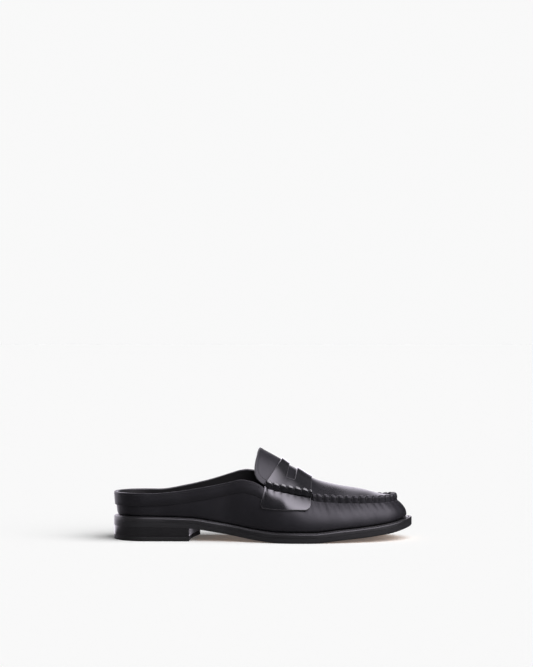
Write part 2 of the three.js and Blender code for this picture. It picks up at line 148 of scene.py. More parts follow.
def outline(angle, inset):
    """The sole's edge drawn smaller by an inset, at an angle round the shoe: 0 is the toe and pi the
    heel. Along the shoe it is a cosine. Across it is the axis plus or minus the half width, tapered at
    both ends."""
    along = (shoe_length / 2 - inset) * np.cos(angle)
    at = along / shoe_length + 0.5
    toe = (along - shoe_length / 2 + toe_cap_length) / (toe_cap_length - inset)
    heel = (heel_cap_length - shoe_length / 2 - along) / (heel_cap_length - inset)
    taper = rounded_end(toe, toe_roundness + toe_squaring * inset) * rounded_end(heel, heel_roundness)
    side = np.where(np.sin(angle) >= 0, 1.0, -1.0)
    half = ball_width / 2 * half_share(at) - inset
    return along, ball_width / 2 * axis_share(at) + side * half * taper


def sole_bottom(along):
    """Height of the outsole's underside: the heel's lift and the toe's spring."""
    at = along / shoe_length + 0.5
    return heel_lift * heel_share(at) + toe_spring * toe_share(at)


def sole_top(along):
    return sole_bottom(along) + outsole_thickness


def welt_bottom(along):
    return sole_top(along) + gap


def welt_edge(along):
    return welt_bottom(along) + welt_thickness


def welt_top(along):
    return welt_edge(along) + welt_slope


def upper_foot(along):
    return welt_top(along) + gap


def share_along(angle):
    return (1 + np.cos(angle)) / 2


def by_side(angle, outer, inner):
    """Picks the inner side's reading between the angles 0 and pi, and the outer side's elsewhere."""
    share = share_along(angle)
    return np.where(np.sin(angle) >= 0, inner(share), outer(share))


def ledge_at(angle):
    return ledge_width * ledge_share(share_along(angle))


def top_inset_at(angle):
    return seam_inset * by_side(angle, outer_inset_share, inner_inset_share)


def foot_height(angle):
    return upper_foot(outline(angle, ledge_at(angle))[0])


def top_height(angle):
    return foot_height(angle) + wall_height * by_side(angle, outer_top_share, inner_top_share)


def wall(angle, rise):
    """Outer face of the wall: rise 0 is its foot on the welt, and 1 its top edge. Its inset from the
    sole's outline grows as a power of the rise, less a parabola for its bulge."""
    ledge = ledge_at(angle)
    roll = (top_inset_at(angle) - ledge) * rise**wall_roll
    along, across = outline(angle, ledge + roll - wall_bulge * 4 * rise * (1 - rise))
    foot = foot_height(angle)
    return np.stack(np.broadcast_arrays(along, across, foot + (top_height(angle) - foot) * rise), -1)


first_stride = 1e-3
lowest_read = 0.03


def set_off(face, first, second, distance, stride=5e-4):
    """A face moved along its normal, which is the cross product of its two slopes. Each slope is taken
    between two points, never lower than the lowest place that is read. A longer stride in the second way
    rounds the normals where the face has a kink."""
    at = np.maximum(second, lowest_read)
    first_way = face(first + first_stride, at) - face(first - first_stride, at)
    second_way = face(first, at + stride) - face(first, at - stride)
    normal = np.cross(first_way, second_way)
    normal /= np.linalg.norm(normal, axis=-1, keepdims=True)
    return face(first, second) + normal * np.asarray(distance)[..., None]


def rounded_off(distance, radius):
    """How far a rounded edge falls below its face at a distance in from the edge: a quarter of a
    circle."""
    short = np.clip(radius - distance, 0, radius)
    return radius - np.sqrt(radius**2 - short**2)


def quads_of(number):
    """Quads between the neighbours in a grid of point numbers."""
    return np.stack([number[:-1, :-1], number[1:, :-1], number[1:, 1:], number[:-1, 1:]], -1)


def closed_sheet(over, under, looped=False, kept=None):
    """Closed skin of a sheet: two grids of points as its faces, and a rim of quads along each open
    edge."""
    rows, columns = over.shape[:2]
    size = rows * columns
    number = np.arange(size).reshape(rows, columns)
    if looped:
        number = np.vstack([number, number[:1]])
    quads = quads_of(number)
    quads = quads.reshape(-1, 4) if kept is None else quads[kept]
    starts = quads.ravel()
    ends = np.roll(quads, -1, axis=1).ravel()
    is_open = ~np.isin(starts * size + ends, ends * size + starts)
    starts = starts[is_open]
    ends = ends[is_open]
    rim = np.stack([ends, starts, starts + size, ends + size], -1)
    points = np.vstack([over.reshape(-1, 3), under.reshape(-1, 3)])
    return points, np.vstack([quads, quads[:, ::-1] + size, rim])


edge_turns = np.linspace(0, 2 * math.pi, 3600)
edge_across = outline(edge_turns, 0)[1]
shift_across = -(edge_across.max() + edge_across.min()) / 2
smooth_limit = math.radians(38)
same_place = 2e-6


def make_piece(name, points, faces, marks=None):
    """A closed mesh piece from points in millimetres and faces as rows of corners. Doubles are merged and
    faces turned outwards. Each mark is a value for every point, kept as an attribute for the material to
    read."""
    mesh = bpy.data.meshes.new(name)
    placed = (points + np.array([0, shift_across, 0])) * millimetre
    mesh.vertices.add(len(placed))
    mesh.vertices.foreach_set("co", placed.astype(np.float32).ravel())
    mesh.loops.add(faces.size)
    mesh.loops.foreach_set("vertex_index", faces.astype(np.int32).ravel())
    mesh.polygons.add(len(faces))
    mesh.polygons.foreach_set("loop_start", np.arange(0, faces.size, faces.shape[1], dtype=np.int32))
    for mark, values in (marks or {}).items():
        attribute = mesh.attributes.new(mark, "FLOAT", "POINT")
        attribute.data.foreach_set("value", values.astype(np.float32).ravel())
    mesh.update(calc_edges=True)
    body = bmesh.new()
    body.from_mesh(mesh)
    bmesh.ops.remove_doubles(body, verts=body.verts, dist=same_place)
    bmesh.ops.dissolve_degenerate(body, edges=body.edges, dist=same_place / 4)
    if body.calc_volume(signed=True) < 0:
        bmesh.ops.reverse_faces(body, faces=body.faces)
    body.to_mesh(mesh)
    body.free()
    mesh.polygons.foreach_set("use_smooth", np.ones(len(mesh.polygons), bool))
    mesh.set_sharp_from_angle(angle=smooth_limit)
    piece = bpy.data.objects.new(name, mesh)
    bpy.context.scene.collection.objects.link(piece)
    return piece


# The seam's run: its length in millimetres from the middle of the toe, negative along the outer side.
ridge_width = 4.0
stitch_pitch = 6.5
first_stitch = 3.25
throat_at = 0.512
throat = math.acos(2 * throat_at - 1)
seam_turns = np.linspace(-throat, throat, 4001)
seam_along, seam_across = outline(seam_turns % (2 * math.pi), top_inset_at(seam_turns % (2 * math.pi)))
seam_heights = top_height(seam_turns % (2 * math.pi))
seam_steps = np.sqrt(np.diff(seam_along) ** 2 + np.diff(seam_across) ** 2 + np.diff(seam_heights) ** 2)
seam_run = np.concatenate([[0], np.cumsum(seam_steps)])
seam_run -= np.interp(0, seam_turns, seam_run)


def run_at(angle):
    """Run of the seam at an angle round the shoe, held at its two ends behind the throat."""
    signed = np.where(np.sin(angle) >= 0, np.abs(angle), np.abs(angle) - 2 * math.pi)
    return np.interp(signed, seam_turns, seam_run)


def turn_at(run):
    return np.interp(run, seam_run, seam_turns) % (2 * math.pi)


def from_stitch(run):
    """Distance along the seam from the nearest stitch, as a share of the pitch between -0.5 and 0.5."""
    return ((run - first_stitch) / stitch_pitch + 0.5) % 1 - 0.5


pucker_depth = 0.55
pucker_reach = 8.0
gather_start = 0.5
gather_spread = 0.06
calm_toe = 48.0
wave_depth = 0.14
wave_length = 15.5
wave_middle = 7.0
wave_reach = 7.5
foot_tuck = 1.6


def stitch_valley(run):
    """1 at each stitch and 0 midway between two: a raised cosine to the power 1.5, which peaks at the
    stitch."""
    return (0.5 + 0.5 * np.cos(2 * math.pi * from_stitch(run))) ** 1.5


def wall_relief(angle, below):
    """Puckers and soft waves of the wall by the distance below its top edge. A pucker is a peaked cosine
    of the seam's run, deepest at each stitch and calmer round the toe, that fades as a bell curve. A wave
    is a longer, wandering sine."""
    run = run_at(angle)
    gathered = np.clip((share_along(angle) - gather_start) / gather_spread, 0, 1)
    uneven = 0.85 + 0.15 * np.sin(run * 0.83) * np.cos(run * 0.31 + 0.7)
    uneven = uneven * (0.3 + 0.7 * np.clip((np.abs(run) / calm_toe - 0.4) / 0.6, 0, 1))
    pucker = -pucker_depth * uneven * stitch_valley(run) * np.exp(-((below / pucker_reach) ** 2))
    wander = np.sin(2 * math.pi * run / wave_length + 1.7 * np.sin(run / 23))
    wave = wave_depth * wander * np.exp(-(((below - wave_middle) / wave_reach) ** 2))
    return gathered * (pucker + wave)


def turns_round(stations):
    """A column of angles once round the shoe: even steps plus a sine, which draws them closer along its
    sides."""
    even = np.linspace(0, 2 * math.pi, stations, endpoint=False)
    return (even + 0.2 * np.sin(2 * even))[:, None]


wall_stations = 880
wall_rows = 36
row_growth = 1.15
cut_zone = 1.5
cut_radius = 0.75
cut_steps = np.array([1.1, 0.75, 0.48, 0.27, 0.12, 0.03, 0.0])
wall_turns = turns_round(wall_stations)
wall_tall = top_height(wall_turns) - foot_height(wall_turns)
main_rises = np.linspace(0, 1, wall_rows) ** row_growth * (1 - cut_zone / wall_tall)
wall_rises = np.hstack([main_rises, 1 - cut_steps / wall_tall])
below_top = (1 - wall_rises) * wall_tall
above_foot = wall_rises * wall_tall
tuck = rounded_off(above_foot, foot_tuck)
topline = rounded_off(below_top, cut_radius)
wall_outside = set_off(wall, wall_turns, wall_rises, wall_relief(wall_turns, below_top) - topline - tuck)
wall_inside = set_off(wall, wall_turns, wall_rises, topline - wall_thickness)
points, faces = closed_sheet(wall_outside, wall_inside, looped=True)
lining_mark = np.concatenate([np.zeros(wall_outside[..., 0].size), np.ones(wall_inside[..., 0].size)])
topline_mark = np.tile(np.clip(2 - below_top / 0.4, 0, 1).ravel(), 2)
side_wall = make_piece("side_wall", points, faces, {"lining": lining_mark, "cut": topline_mark})


class Wire:
    """An output socket of a shader node, or an empty start. Arithmetic with numbers and wires adds Math
    nodes."""

    def __init__(self, tree, socket=None):
        self.tree = tree
        self.socket = socket

    def node(self, kind, settings=None, inputs=None, output=0):
        """Adds any node: its settings first, such as an operation or a ramp's stops, then its sockets'
        values."""
        made = self.tree.nodes.new(kind)
        for name, value in (settings or {}).items():
            if name == "stops":
                ramp = made.color_ramp.elements
                while len(ramp) < len(value):
                    ramp.new(0.5)
                for stop, (place, colour) in zip(ramp, value):
                    stop.position = place
                    stop.color = colour
            else:
                setattr(made, name, value)
        for name, value in (inputs or {}).items():
            if isinstance(value, Wire):
                self.tree.links.new(value.socket, made.inputs[name])
            else:
                made.inputs[name].default_value = value
        return Wire(self.tree, made.outputs[output])

    def math(self, operation, *terms):
        return self.node("ShaderNodeMath", {"operation": operation}, dict(enumerate(terms)))

    def __add__(self, other):
        return self.math("ADD", self, other)

    def __sub__(self, other):
        return self.math("SUBTRACT", self, other)

    def __rsub__(self, other):
        return self.math("SUBTRACT", other, self)

    def __mul__(self, other):
        return self.math("MULTIPLY", self, other)

    __radd__ = __add__
    __rmul__ = __mul__


def start_material(name, constants):
    """A new material, its Principled shader with constant values set on its own sockets, and an empty
    wire."""
    material = bpy.data.materials.new(name)
    material.use_nodes = True
    shader = material.node_tree.nodes["Principled BSDF"]
    for socket, value in constants.items():
        shader.inputs[socket].default_value = value
    return material, shader, Wire(material.node_tree)


def feed(shader, socket, wire):
    wire.tree.links.new(wire.socket, shader.inputs[socket])


def smooth_between(wire, low, high):
    """0 below a low value and 1 over a high one, with a smooth step between them."""
    return wire.node("ShaderNodeMapRange", {"interpolation_type": "SMOOTHSTEP"},
                     {"Value": wire, "From Min": low, "From Max": high})


def blend_colours(share, first, second):
    return share.node("ShaderNodeMix", {"data_type": "RGBA"}, {0: share, 6: first, 7: second}, output=2)


lining_black = (0.012, 0.0115, 0.012, 1)
cut_grey = (0.05, 0.048, 0.053, 1)
lining_rough = 0.62
cut_rough = 0.5
napped_rough = 0.47
coat_rough = 0.1


def leather(name, colour, pale, roughness, grain, shine=0.5, coat=0.0, mark_colour=cut_grey):
    """Finished black leather. Voronoi pores and two sizes of noise make the grain, and broad noise moves the
    colour and the roughness a little. Marks turn it into lining leather or into the tongue's duller, napped
    skin, and the cut mark gives it the mark colour: the paler fibres of a cut edge, and on the strap's ridge
    crowns a painted highlight."""
    material, shader, start = start_material(name, {
        "Specular IOR Level": shine, "Coat Weight": coat, "Coat Roughness": coat_rough})
    place = start.node("ShaderNodeTexCoord", output="Object")
    pores = start.node("ShaderNodeTexVoronoi", {"feature": "F1"}, {"Vector": place, "Scale": 1150.0})
    fine = start.node("ShaderNodeTexNoise", inputs={"Vector": place, "Scale": 2600.0, "Detail": 3.0})
    creases = start.node("ShaderNodeTexNoise", inputs={"Vector": place, "Scale": 320.0, "Detail": 4.0})
    broad = start.node("ShaderNodeTexNoise", inputs={"Vector": place, "Scale": 42.0, "Detail": 3.0})
    relief = pores * 0.7 + fine * 0.5 + creases * 0.5
    shade = smooth_between(broad, 0.3, 0.7)
    base = blend_colours(shade, colour, pale)
    rough = shade * 0.05 + creases * 0.08 + (roughness - 0.065)
    napped = start.node("ShaderNodeAttribute", {"attribute_name": "tongue"}, output="Fac")
    lining = start.node("ShaderNodeAttribute", {"attribute_name": "lining"}, output="Fac")
    cut = start.node("ShaderNodeAttribute", {"attribute_name": "cut"}, output="Fac")
    base = blend_colours(cut, blend_colours(lining, base, lining_black), mark_colour)
    rough = rough + napped * (napped_rough - roughness) + lining * (1 - cut) * (lining_rough - roughness)
    rough = rough + cut * (1 - lining) * (cut_rough - roughness)
    feed(shader, "Base Color", base)
    feed(shader, "Roughness", rough)
    feed(shader, "Normal", start.node("ShaderNodeBump", inputs={
        "Strength": 1.0, "Distance": grain, "Height": relief}))
    return material


def finish_piece(piece, material, slot, *nodes):
    piece.data.materials.append(material)
    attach(piece, "root")
    if nodes:
        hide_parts(*nodes)


wall_black = (0.0102, 0.0096, 0.0122, 1)
wall_pale = (0.013, 0.0123, 0.0154, 1)
wall_leather = leather("wall_leather", wall_black, wall_pale, 0.4, 4e-5, shine=0.4)
finish_piece(side_wall, wall_leather, "upper_leather", "upper")

# Apron and tongue
# The top of the vamp, cut in one with the tongue from a smoother, glossier skin. Its edge stands up in
# the seam, and the tongue's free end is cut round, pared, and stitched to its lining close to the edge.

apron_edge_height = 3.8
arch_height = 22.7
arch_roundness = 2.2
arch = {
    "at": [0.512, 0.593, 0.666, 0.784, 0.873, 0.95, 1.0],
    "rise": [1.0, 0.77, 0.565, 0.4, 0.265, 0.1, 0.0],
    "lean": [34.0, 28.0, 20.0, 11.0, 9.0, 5.0, 0.0],
}
tongue_length = 20.6
tongue_slope = math.radians(28.5)
tongue_roundness = 2.9
tongue_way = np.array([-math.cos(tongue_slope), 0, math.sin(tongue_slope)])
arch_share = through(arch, "rise")
arch_lean = through(arch, "lean")


def seam(angle, inward, up):
    """A point of the seam: a distance in from the wall's top edge, and a height over it."""
    along, across = outline(angle, top_inset_at(angle) + inward)
    return np.stack(np.broadcast_arrays(along, across, top_height(angle) + up), -1)


def apron(across, angle):
    """Upper face of the apron: a straight line between the two edges of the seam, plus an arch that is a
    superellipse across the foot and leans forward. Behind the throat it runs on straight, the tongue's
    way."""
    row = np.clip(angle, 1e-4, throat)
    share = share_along(row)
    outer = seam(2 * math.pi - row, ridge_width / 2, apron_edge_height)
    inner = seam(row, ridge_width / 2, apron_edge_height)
    rise = arch_height * arch_share(share) * (1 - np.abs(np.clip(across, -1, 1)) ** arch_roundness)
    lean = np.radians(arch_lean(share))
    side = np.asarray(across)[..., None]
    chord = outer * (1 - side) / 2 + inner * (1 + side) / 2
    arched = np.stack(np.broadcast_arrays(rise * np.sin(lean), 0 * rise, rise * np.cos(lean)), -1)
    past = shoe_length * (share - share_along(angle))
    return chord + arched + tongue_way * np.asarray(past)[..., None]


apron_rows = 170
tongue_rows = 46
apron_columns = 120
acrosses = np.sin(np.linspace(-math.pi / 2, math.pi / 2, apron_columns))[None, :]
apron_turns = np.linspace(0.02, throat, apron_rows)[:, None]
tongue_shares = np.sin(np.linspace(0, math.pi / 2, tongue_rows))[1:, None]
tongue_reach = tongue_length * rounded_end(np.abs(acrosses), tongue_roundness)
to_cut_edge = (1 - tongue_shares) * tongue_reach


def apron_face(distance, cut):
    """Rows of the apron from the toe to the throat, and on along the tongue to its rounded end."""
    lower = set_off(apron, acrosses, apron_turns, distance + 0 * acrosses * apron_turns)
    upper = set_off(apron, acrosses, throat + 0 * tongue_shares, distance + cut)
    return np.vstack([lower, upper + tongue_way * (tongue_shares * tongue_reach)[..., None]])


pared = rounded_off(to_cut_edge, 0.8)
apron_outside = apron_face(0.0, -pared)
apron_inside = apron_face(-wall_thickness, pared * 0.6)
points, faces = closed_sheet(apron_outside, apron_inside)
lining_mark = np.concatenate([np.zeros(apron_outside[..., 0].size), np.ones(apron_inside[..., 0].size)])
tongue_mark = np.concatenate([np.zeros(apron_rows), np.ones(tongue_rows - 1)])
tongue_mark = np.tile(np.repeat(tongue_mark, apron_columns), 2)
tongue_cut = np.clip(2 - to_cut_edge / 0.45, 0, 1)
cut_mark = np.tile(np.vstack([np.zeros((apron_rows, apron_columns)), tongue_cut]), (2, 1))
apron_marks = {"lining": lining_mark, "tongue": tongue_mark, "cut": cut_mark}
apron_piece = make_piece("apron", points, faces, apron_marks)
apron_black = (0.008, 0.0078, 0.0098, 1)
apron_pale = (0.011, 0.0106, 0.013, 1)
apron_leather = leather("apron_leather", apron_black, apron_pale, 0.29, 1.4e-5)
finish_piece(apron_piece, apron_leather, "upper_leather")


def beads(path, lift, length, width, pitch, facets=6):
    """Stitches along a path of points: each is a small ellipsoid drawn out along the path, a pitch apart,
    and sunk into the leather to the lift that is given for its middle."""
    steps = np.linalg.norm(np.diff(path, axis=0), axis=1)
    run = np.concatenate([[0], np.cumsum(steps)])
    middles = np.arange(pitch / 2, run[-1], pitch)
    at = np.stack([np.interp(middles, run, path[:, axis]) for axis in range(3)], -1)
    raised = np.stack([np.interp(middles, run, lift[:, axis]) for axis in range(3)], -1)
    ahead = np.stack([np.interp(middles + 0.2, run, path[:, axis]) for axis in range(3)], -1)
    behind = np.stack([np.interp(middles - 0.2, run, path[:, axis]) for axis in range(3)], -1)
    way = ahead - behind
    way /= np.linalg.norm(way, axis=1, keepdims=True)
    normal = raised - way * np.sum(raised * way, axis=1, keepdims=True)
    normal /= np.linalg.norm(normal, axis=1, keepdims=True)
    side = np.cross(way, normal)
    lengthwise = np.linspace(0, math.pi, facets)[:, None]
    turn = np.linspace(0, 2 * math.pi, facets, endpoint=False)[None, :]
    local = np.stack(np.broadcast_arrays(
        -np.cos(lengthwise) * length / 2,
        np.sin(lengthwise) ** 0.6 * np.cos(turn) * width / 2,
        np.sin(lengthwise) ** 0.6 * np.sin(turn) * width / 2), -1).reshape(-1, 3)
    axes = np.stack([way, side, normal], 1)
    points = (at[:, None, :] + np.einsum("pk,nkd->npd", local, axes)).reshape(-1, 3)
    number = np.arange(facets * facets).reshape(facets, facets)
    looped = np.hstack([number, number[:, :1]])
    quads = quads_of(looped).reshape(-1, 4)
    starts = np.arange(len(middles))[:, None, None] * facets * facets
    return points, (quads[None] + starts).reshape(-1, 4)


def thread(name, colour, roughness):
    """Waxed thread: a soft sheen and a fine twist seen as bands of noise."""
    material, shader, start = start_material(name, {"Specular IOR Level": 0.4})
    place = start.node("ShaderNodeTexCoord", output="Object")
    twist = start.node("ShaderNodeTexNoise", inputs={"Vector": place, "Scale": 1900.0, "Detail": 2.0})
    feed(shader, "Base Color", blend_colours(twist, colour, tuple(1.7 * c for c in colour[:3]) + (1,)))
    feed(shader, "Roughness", twist * 0.15 + (roughness - 0.07))
    feed(shader, "Normal", start.node("ShaderNodeBump", inputs={"Distance": 6e-5, "Height": twist}))
    return material


fine_thread = thread("fine_thread", (0.014, 0.014, 0.015, 1), 0.5)

# The tongue's edge stitching follows its rounded end at an even distance.
edge_stitch_inset = 2.3
half_throat = (seam(throat, 2, 0)[1] - seam(2 * math.pi - throat, 2, 0)[1]) / 2
bend = np.sin(np.linspace(-math.pi / 2, math.pi / 2, 600))
edge_line = np.stack([bend * half_throat, tongue_length * rounded_end(np.abs(bend), tongue_roundness)], -1)
edge_way = np.gradient(edge_line, axis=0)
edge_way /= np.linalg.norm(edge_way, axis=1, keepdims=True)
stitch_line = edge_line + edge_stitch_inset * np.stack([edge_way[:, 1], -edge_way[:, 0]], -1)
inside_edge = np.abs(stitch_line[:, 0]) < half_throat - edge_stitch_inset
stitch_line = stitch_line[inside_edge & (stitch_line[:, 1] > 0.5)]
stitch_across = stitch_line[:, 0] / half_throat
stitch_base = set_off(apron, stitch_across, throat + 0 * stitch_across, 0.05 + 0 * stitch_across)
stitch_lift = stitch_base - set_off(apron, stitch_across, throat + 0 * stitch_across, -1 + 0 * stitch_across)
stitch_path = stitch_base + tongue_way * stitch_line[:, 1:]
tongue_beads = beads(stitch_path, stitch_lift, length=2.3, width=0.55, pitch=2.8)
tongue_stitches = make_piece("tongue_stitches", *tongue_beads)
finish_piece(tongue_stitches, fine_thread, "upper_leather")

# Hand-sewn seam
# The wall's edge is gathered up against the apron's edge and whipped over with thick waxed thread. The
# leather swells into a small lobe between every two stitches.

ridge_height = 5.8
ridge_proud = 0.4
lobe_pinch = 0.26
lobe_drop = 1.5
lobe_swell = 0.16
pinch_width = 1.35
end_rounding = 1.0
end_shrink = 0.45
ring_spacing = 0.35

# How far each ridge is moved outwards and up from the seam, and how deep its foot reaches under it.
plain_seam = {"out": 0.0, "up": 0.3, "sunk": 1.8}
strap_seam = {"out": 1.2, "up": 3.5, "sunk": 0.8}


def closed_tube(rings):
    """Closed skin of a tube from rings of points, with each end drawn together into a point in its
    middle."""
    first = np.broadcast_to(rings[0].mean(axis=0), rings[0].shape)
    final = np.broadcast_to(rings[-1].mean(axis=0), rings[-1].shape)
    rings = np.concatenate([first[None], rings, final[None]])
    rows, columns = rings.shape[:2]
    number = np.arange(rows * columns).reshape(rows, columns)
    number = np.hstack([number, number[:, :1]])
    quads = quads_of(number).reshape(-1, 4)
    return rings.reshape(-1, 3), quads


def ridge_section(place):
    """Section of the ridge, from its outer foot over the top to its inner foot: straight sides and a
    round top. Given as a share of its half width, positive outwards, and a height."""
    straight = ridge_height - (ridge_width + ridge_proud) / 2
    sides = np.linspace(-place["sunk"], straight, 10)[:-1]
    turn = np.linspace(0, math.pi, 19)
    share = np.concatenate([np.ones(9), np.cos(turn), -np.ones(9)])
    up = np.concatenate([sides, straight + (ridge_height - straight) * np.sin(turn), sides[::-1]])
    return share, up


def ridge_points(place, run, share, up, proud=0.0):
    """The ridge at a run of the seam. Near a stitch its section is pinched in and its top pulled down, as
    a bell curve of the distance to the stitch; between two stitches its foot swells as a squared sine."""
    half = (ridge_width + ridge_proud) / 2
    phase = from_stitch(run)
    pinch = np.exp(-((phase * stitch_pitch / pinch_width) ** 2))
    swell = np.sin(math.pi * np.abs(phase)) ** 2
    high = np.clip(up / ridge_height, 0, 1)
    narrow = 1 - lobe_pinch * pinch * (0.5 + 0.5 * high) + lobe_swell * swell * (1 - high)
    middle = ridge_width / 2 - ridge_proud / 2 - place["out"]
    inward = middle - share * (half * narrow + proud)
    foot = 0.5 * swell * (1 - high) ** 4
    rise = up + place["up"] - lobe_drop * pinch * high**2 + proud * high - foot
    return seam(turn_at(run), inward, rise)


def sew_ridge(name, low, high, place, crown=0.3):
    """A length of the ridge as a closed tube between two runs of the seam, with rounded ends. The cut mark
    lies on the crown of each lobe, down to a depth below its top: it shows the paler fibres of a cut edge,
    and on the ridges under the strap a painted highlight."""
    steps = int((high - low) / ring_spacing)
    run = np.linspace(low, high, steps)[:, None]
    share, up = ridge_section(place)
    rings = ridge_points(place, run, share[None, :], up[None, :])
    to_end = np.minimum(run - low, high - run)
    shrink = end_shrink * rounded_off(to_end, end_rounding) / end_rounding
    middle = rings.mean(axis=1, keepdims=True)
    lobe = np.clip((np.abs(from_stitch(run)) - 0.16) / 0.08, 0, 1)
    on_top = np.clip((up - ridge_height + crown) / 0.15 + 0.5, 0, 1) * (share > -0.7)
    cut = np.vstack([0 * on_top, lobe * on_top, 0 * on_top])
    return make_piece(name, *closed_tube(rings + (middle - rings) * shrink[..., None]), {"cut": cut})


strap_rear = {"at": [0.4945, 0.5135, 0.5653, 0.593], "up": [0.475, 1.027, 1.525, 1.755]}
strap_front = {"at": [0.663, 0.6665, 0.672], "up": [0.467, 1.15, 1.755]}


def side_line(table, moved=0.0):
    """A line of the strap seen from the side: gives the place along the shoe at a height over the floor,
    and runs on straight past its ends."""
    along = (np.array(table["at"]) - 0.5) * shoe_length
    heights = upper_foot(along) + wall_height * np.array(table["up"])

    def read(height):
        inside = np.interp(height, heights, along)
        low_slope = (along[1] - along[0]) / (heights[1] - heights[0])
        high_slope = (along[-1] - along[-2]) / (heights[-1] - heights[-2])
        before = np.minimum(height - heights[0], 0) * low_slope
        after = np.maximum(height - heights[-1], 0) * high_slope
        return inside + before + after + moved

    return read


rear_line = side_line(strap_rear)
front_line = side_line(strap_front)


def run_under(line, sign):
    """Run of the seam where the ridge crosses a line of the strap, on the outer (-1) or inner (1)
    side."""
    runs = np.linspace(0, seam_run[-1] if sign > 0 else -seam_run[0], 3000) * sign
    crest = ridge_points(plain_seam, runs, 0 * runs, ridge_height + 0 * runs)
    past = crest[:, 0] - line(crest[:, 2])
    return np.interp(0, -past, runs)


seam_gap = 0.25
front_runs = [run_under(front_line, side) for side in (-1, 1)]
rear_runs = [run_under(rear_line, side) for side in (-1, 1)]
front_ridge = sew_ridge("seam_ridge", front_runs[0] + seam_gap, front_runs[1] - seam_gap, plain_seam)
ridge_leather = leather("ridge_leather", wall_black, wall_pale, 0.38, 6e-5, shine=0.45)
finish_piece(front_ridge, ridge_leather, "upper_leather")

thread_width = 1.25
thread_slant = 1.5


def whip_stitches(name, low, high, place):
    """Whip stitches over the ridge: each is a thread laid from its outer side over the top to its inner
    side, slanting along the seam, as a round tube swept along the ridge's own section."""
    first = math.ceil((low - first_stitch) / stitch_pitch)
    final = math.floor((high - first_stitch) / stitch_pitch)
    runs = first_stitch + stitch_pitch * np.arange(first, final + 1)
    share, up = ridge_section(place)
    used = slice(5, len(share) - 5)
    share, up = share[used], up[used]
    lean = np.linspace(-0.5, 0.5, len(share)) * thread_slant
    run = runs[:, None] + lean[None, :]
    centre = ridge_points(place, run, share[None, :], up[None, :], 0.1)
    way = np.gradient(centre, axis=1)
    way /= np.linalg.norm(way, axis=-1, keepdims=True)
    ahead = ridge_points(place, run + 0.3, share[None, :], up[None, :])
    behind = ridge_points(place, run - 0.3, share[None, :], up[None, :])
    seam_way = ahead - behind
    normal = np.cross(seam_way, way)
    normal /= np.linalg.norm(normal, axis=-1, keepdims=True)
    side = np.cross(way, normal)
    turn = np.linspace(0, 2 * math.pi, 8, endpoint=False)
    radius = thread_width / 2 * np.ones(len(share))
    radius[[0, -1]] *= 0.35
    round_about = np.cos(turn)[:, None] * side[:, :, None, :] + np.sin(turn)[:, None] * normal[:, :, None, :]
    rings = centre[:, :, None, :] + round_about * radius[None, :, None, None]
    tubes = [closed_tube(one) for one in rings]
    sizes = np.cumsum([0] + [len(tube_points) for tube_points, _ in tubes[:-1]])
    points = np.vstack([tube_points for tube_points, _ in tubes])
    faces = np.vstack([tube_faces + start for (_, tube_faces), start in zip(tubes, sizes)])
    return make_piece(name, points, faces)


waxed_thread = thread("waxed_thread", (0.011, 0.011, 0.012, 1), 0.45)
front_thread = whip_stitches("seam_thread", front_runs[0] + 1, front_runs[1] - 1, plain_seam)
finish_piece(front_thread, waxed_thread, "upper_leather")

# Saddle strap
# The penny strap: one piece of high-gloss leather laid over the apron and sewn into the seam at both
# sides, with a tab hanging below the seam on each side and the window cut across its top. Its edges are
# cut and polished.

saddle_thickness = 1.6
rear_corner = 4.0
front_corner = 5.5
window_corner = 1.2
strap_edge = 0.6
cut_shows = 0.35
strap_lift = gap + saddle_thickness
window_ends = {"at": [0.5835, 0.611], "up": [1.15, 1.095]}
bend_stride = 0.05
tab_rounds = 15
bridge_rounds = 12
end_rounds = 14
longest_turn = 0.08
longest_slide = 0.1
half_arc = 30.0
side_rows = 46
top_rows = 64
side_columns = 34
window_columns = 20
window_rear = {"at": [0.5835, 0.5907, 0.601], "up": [1.143, 1.37, 1.83]}
window_front = {"at": [0.611, 0.6175, 0.628], "up": [1.143, 1.37, 1.83]}
window_rear_line = side_line(window_rear)
window_front_line = side_line(window_front)


def spread(count):
    """Shares from 0 to 1, close together at both ends: half a cosine."""
    return 0.5 - 0.5 * np.cos(np.linspace(0, math.pi, count))


def corner_inset(height, radius):
    """How far a rounded corner's edge lies in at a height over the end of the piece."""
    return rounded_off(np.clip(height, 0, radius), radius)


def to_corner(first, second, radius):
    """Distance to the nearer of two edges that meet at a rounded corner, from the distances to both."""
    inside = radius - np.hypot(radius - first, radius - second)
    return np.where((first < radius) & (second < radius), inside, np.minimum(first, second))


tab_rows = 60
tab_columns = 96
tab_tuck = 2.2
tab_pucker = 0.3
tab_pucker_reach = 3.0


def lower_rise(turn, lowest, foot, tall):
    """Rise at which the set-off wall reaches the tab's lower line: the line's height less what the set-
    off adds."""
    rise = (lowest - foot) / tall
    for _ in range(3):
        lift = set_off(wall, turn, np.clip(rise, 0, 1), strap_lift + 0 * turn)[..., 2] - foot - tall * rise
        rise = (lowest - foot - lift) / tall
    return rise


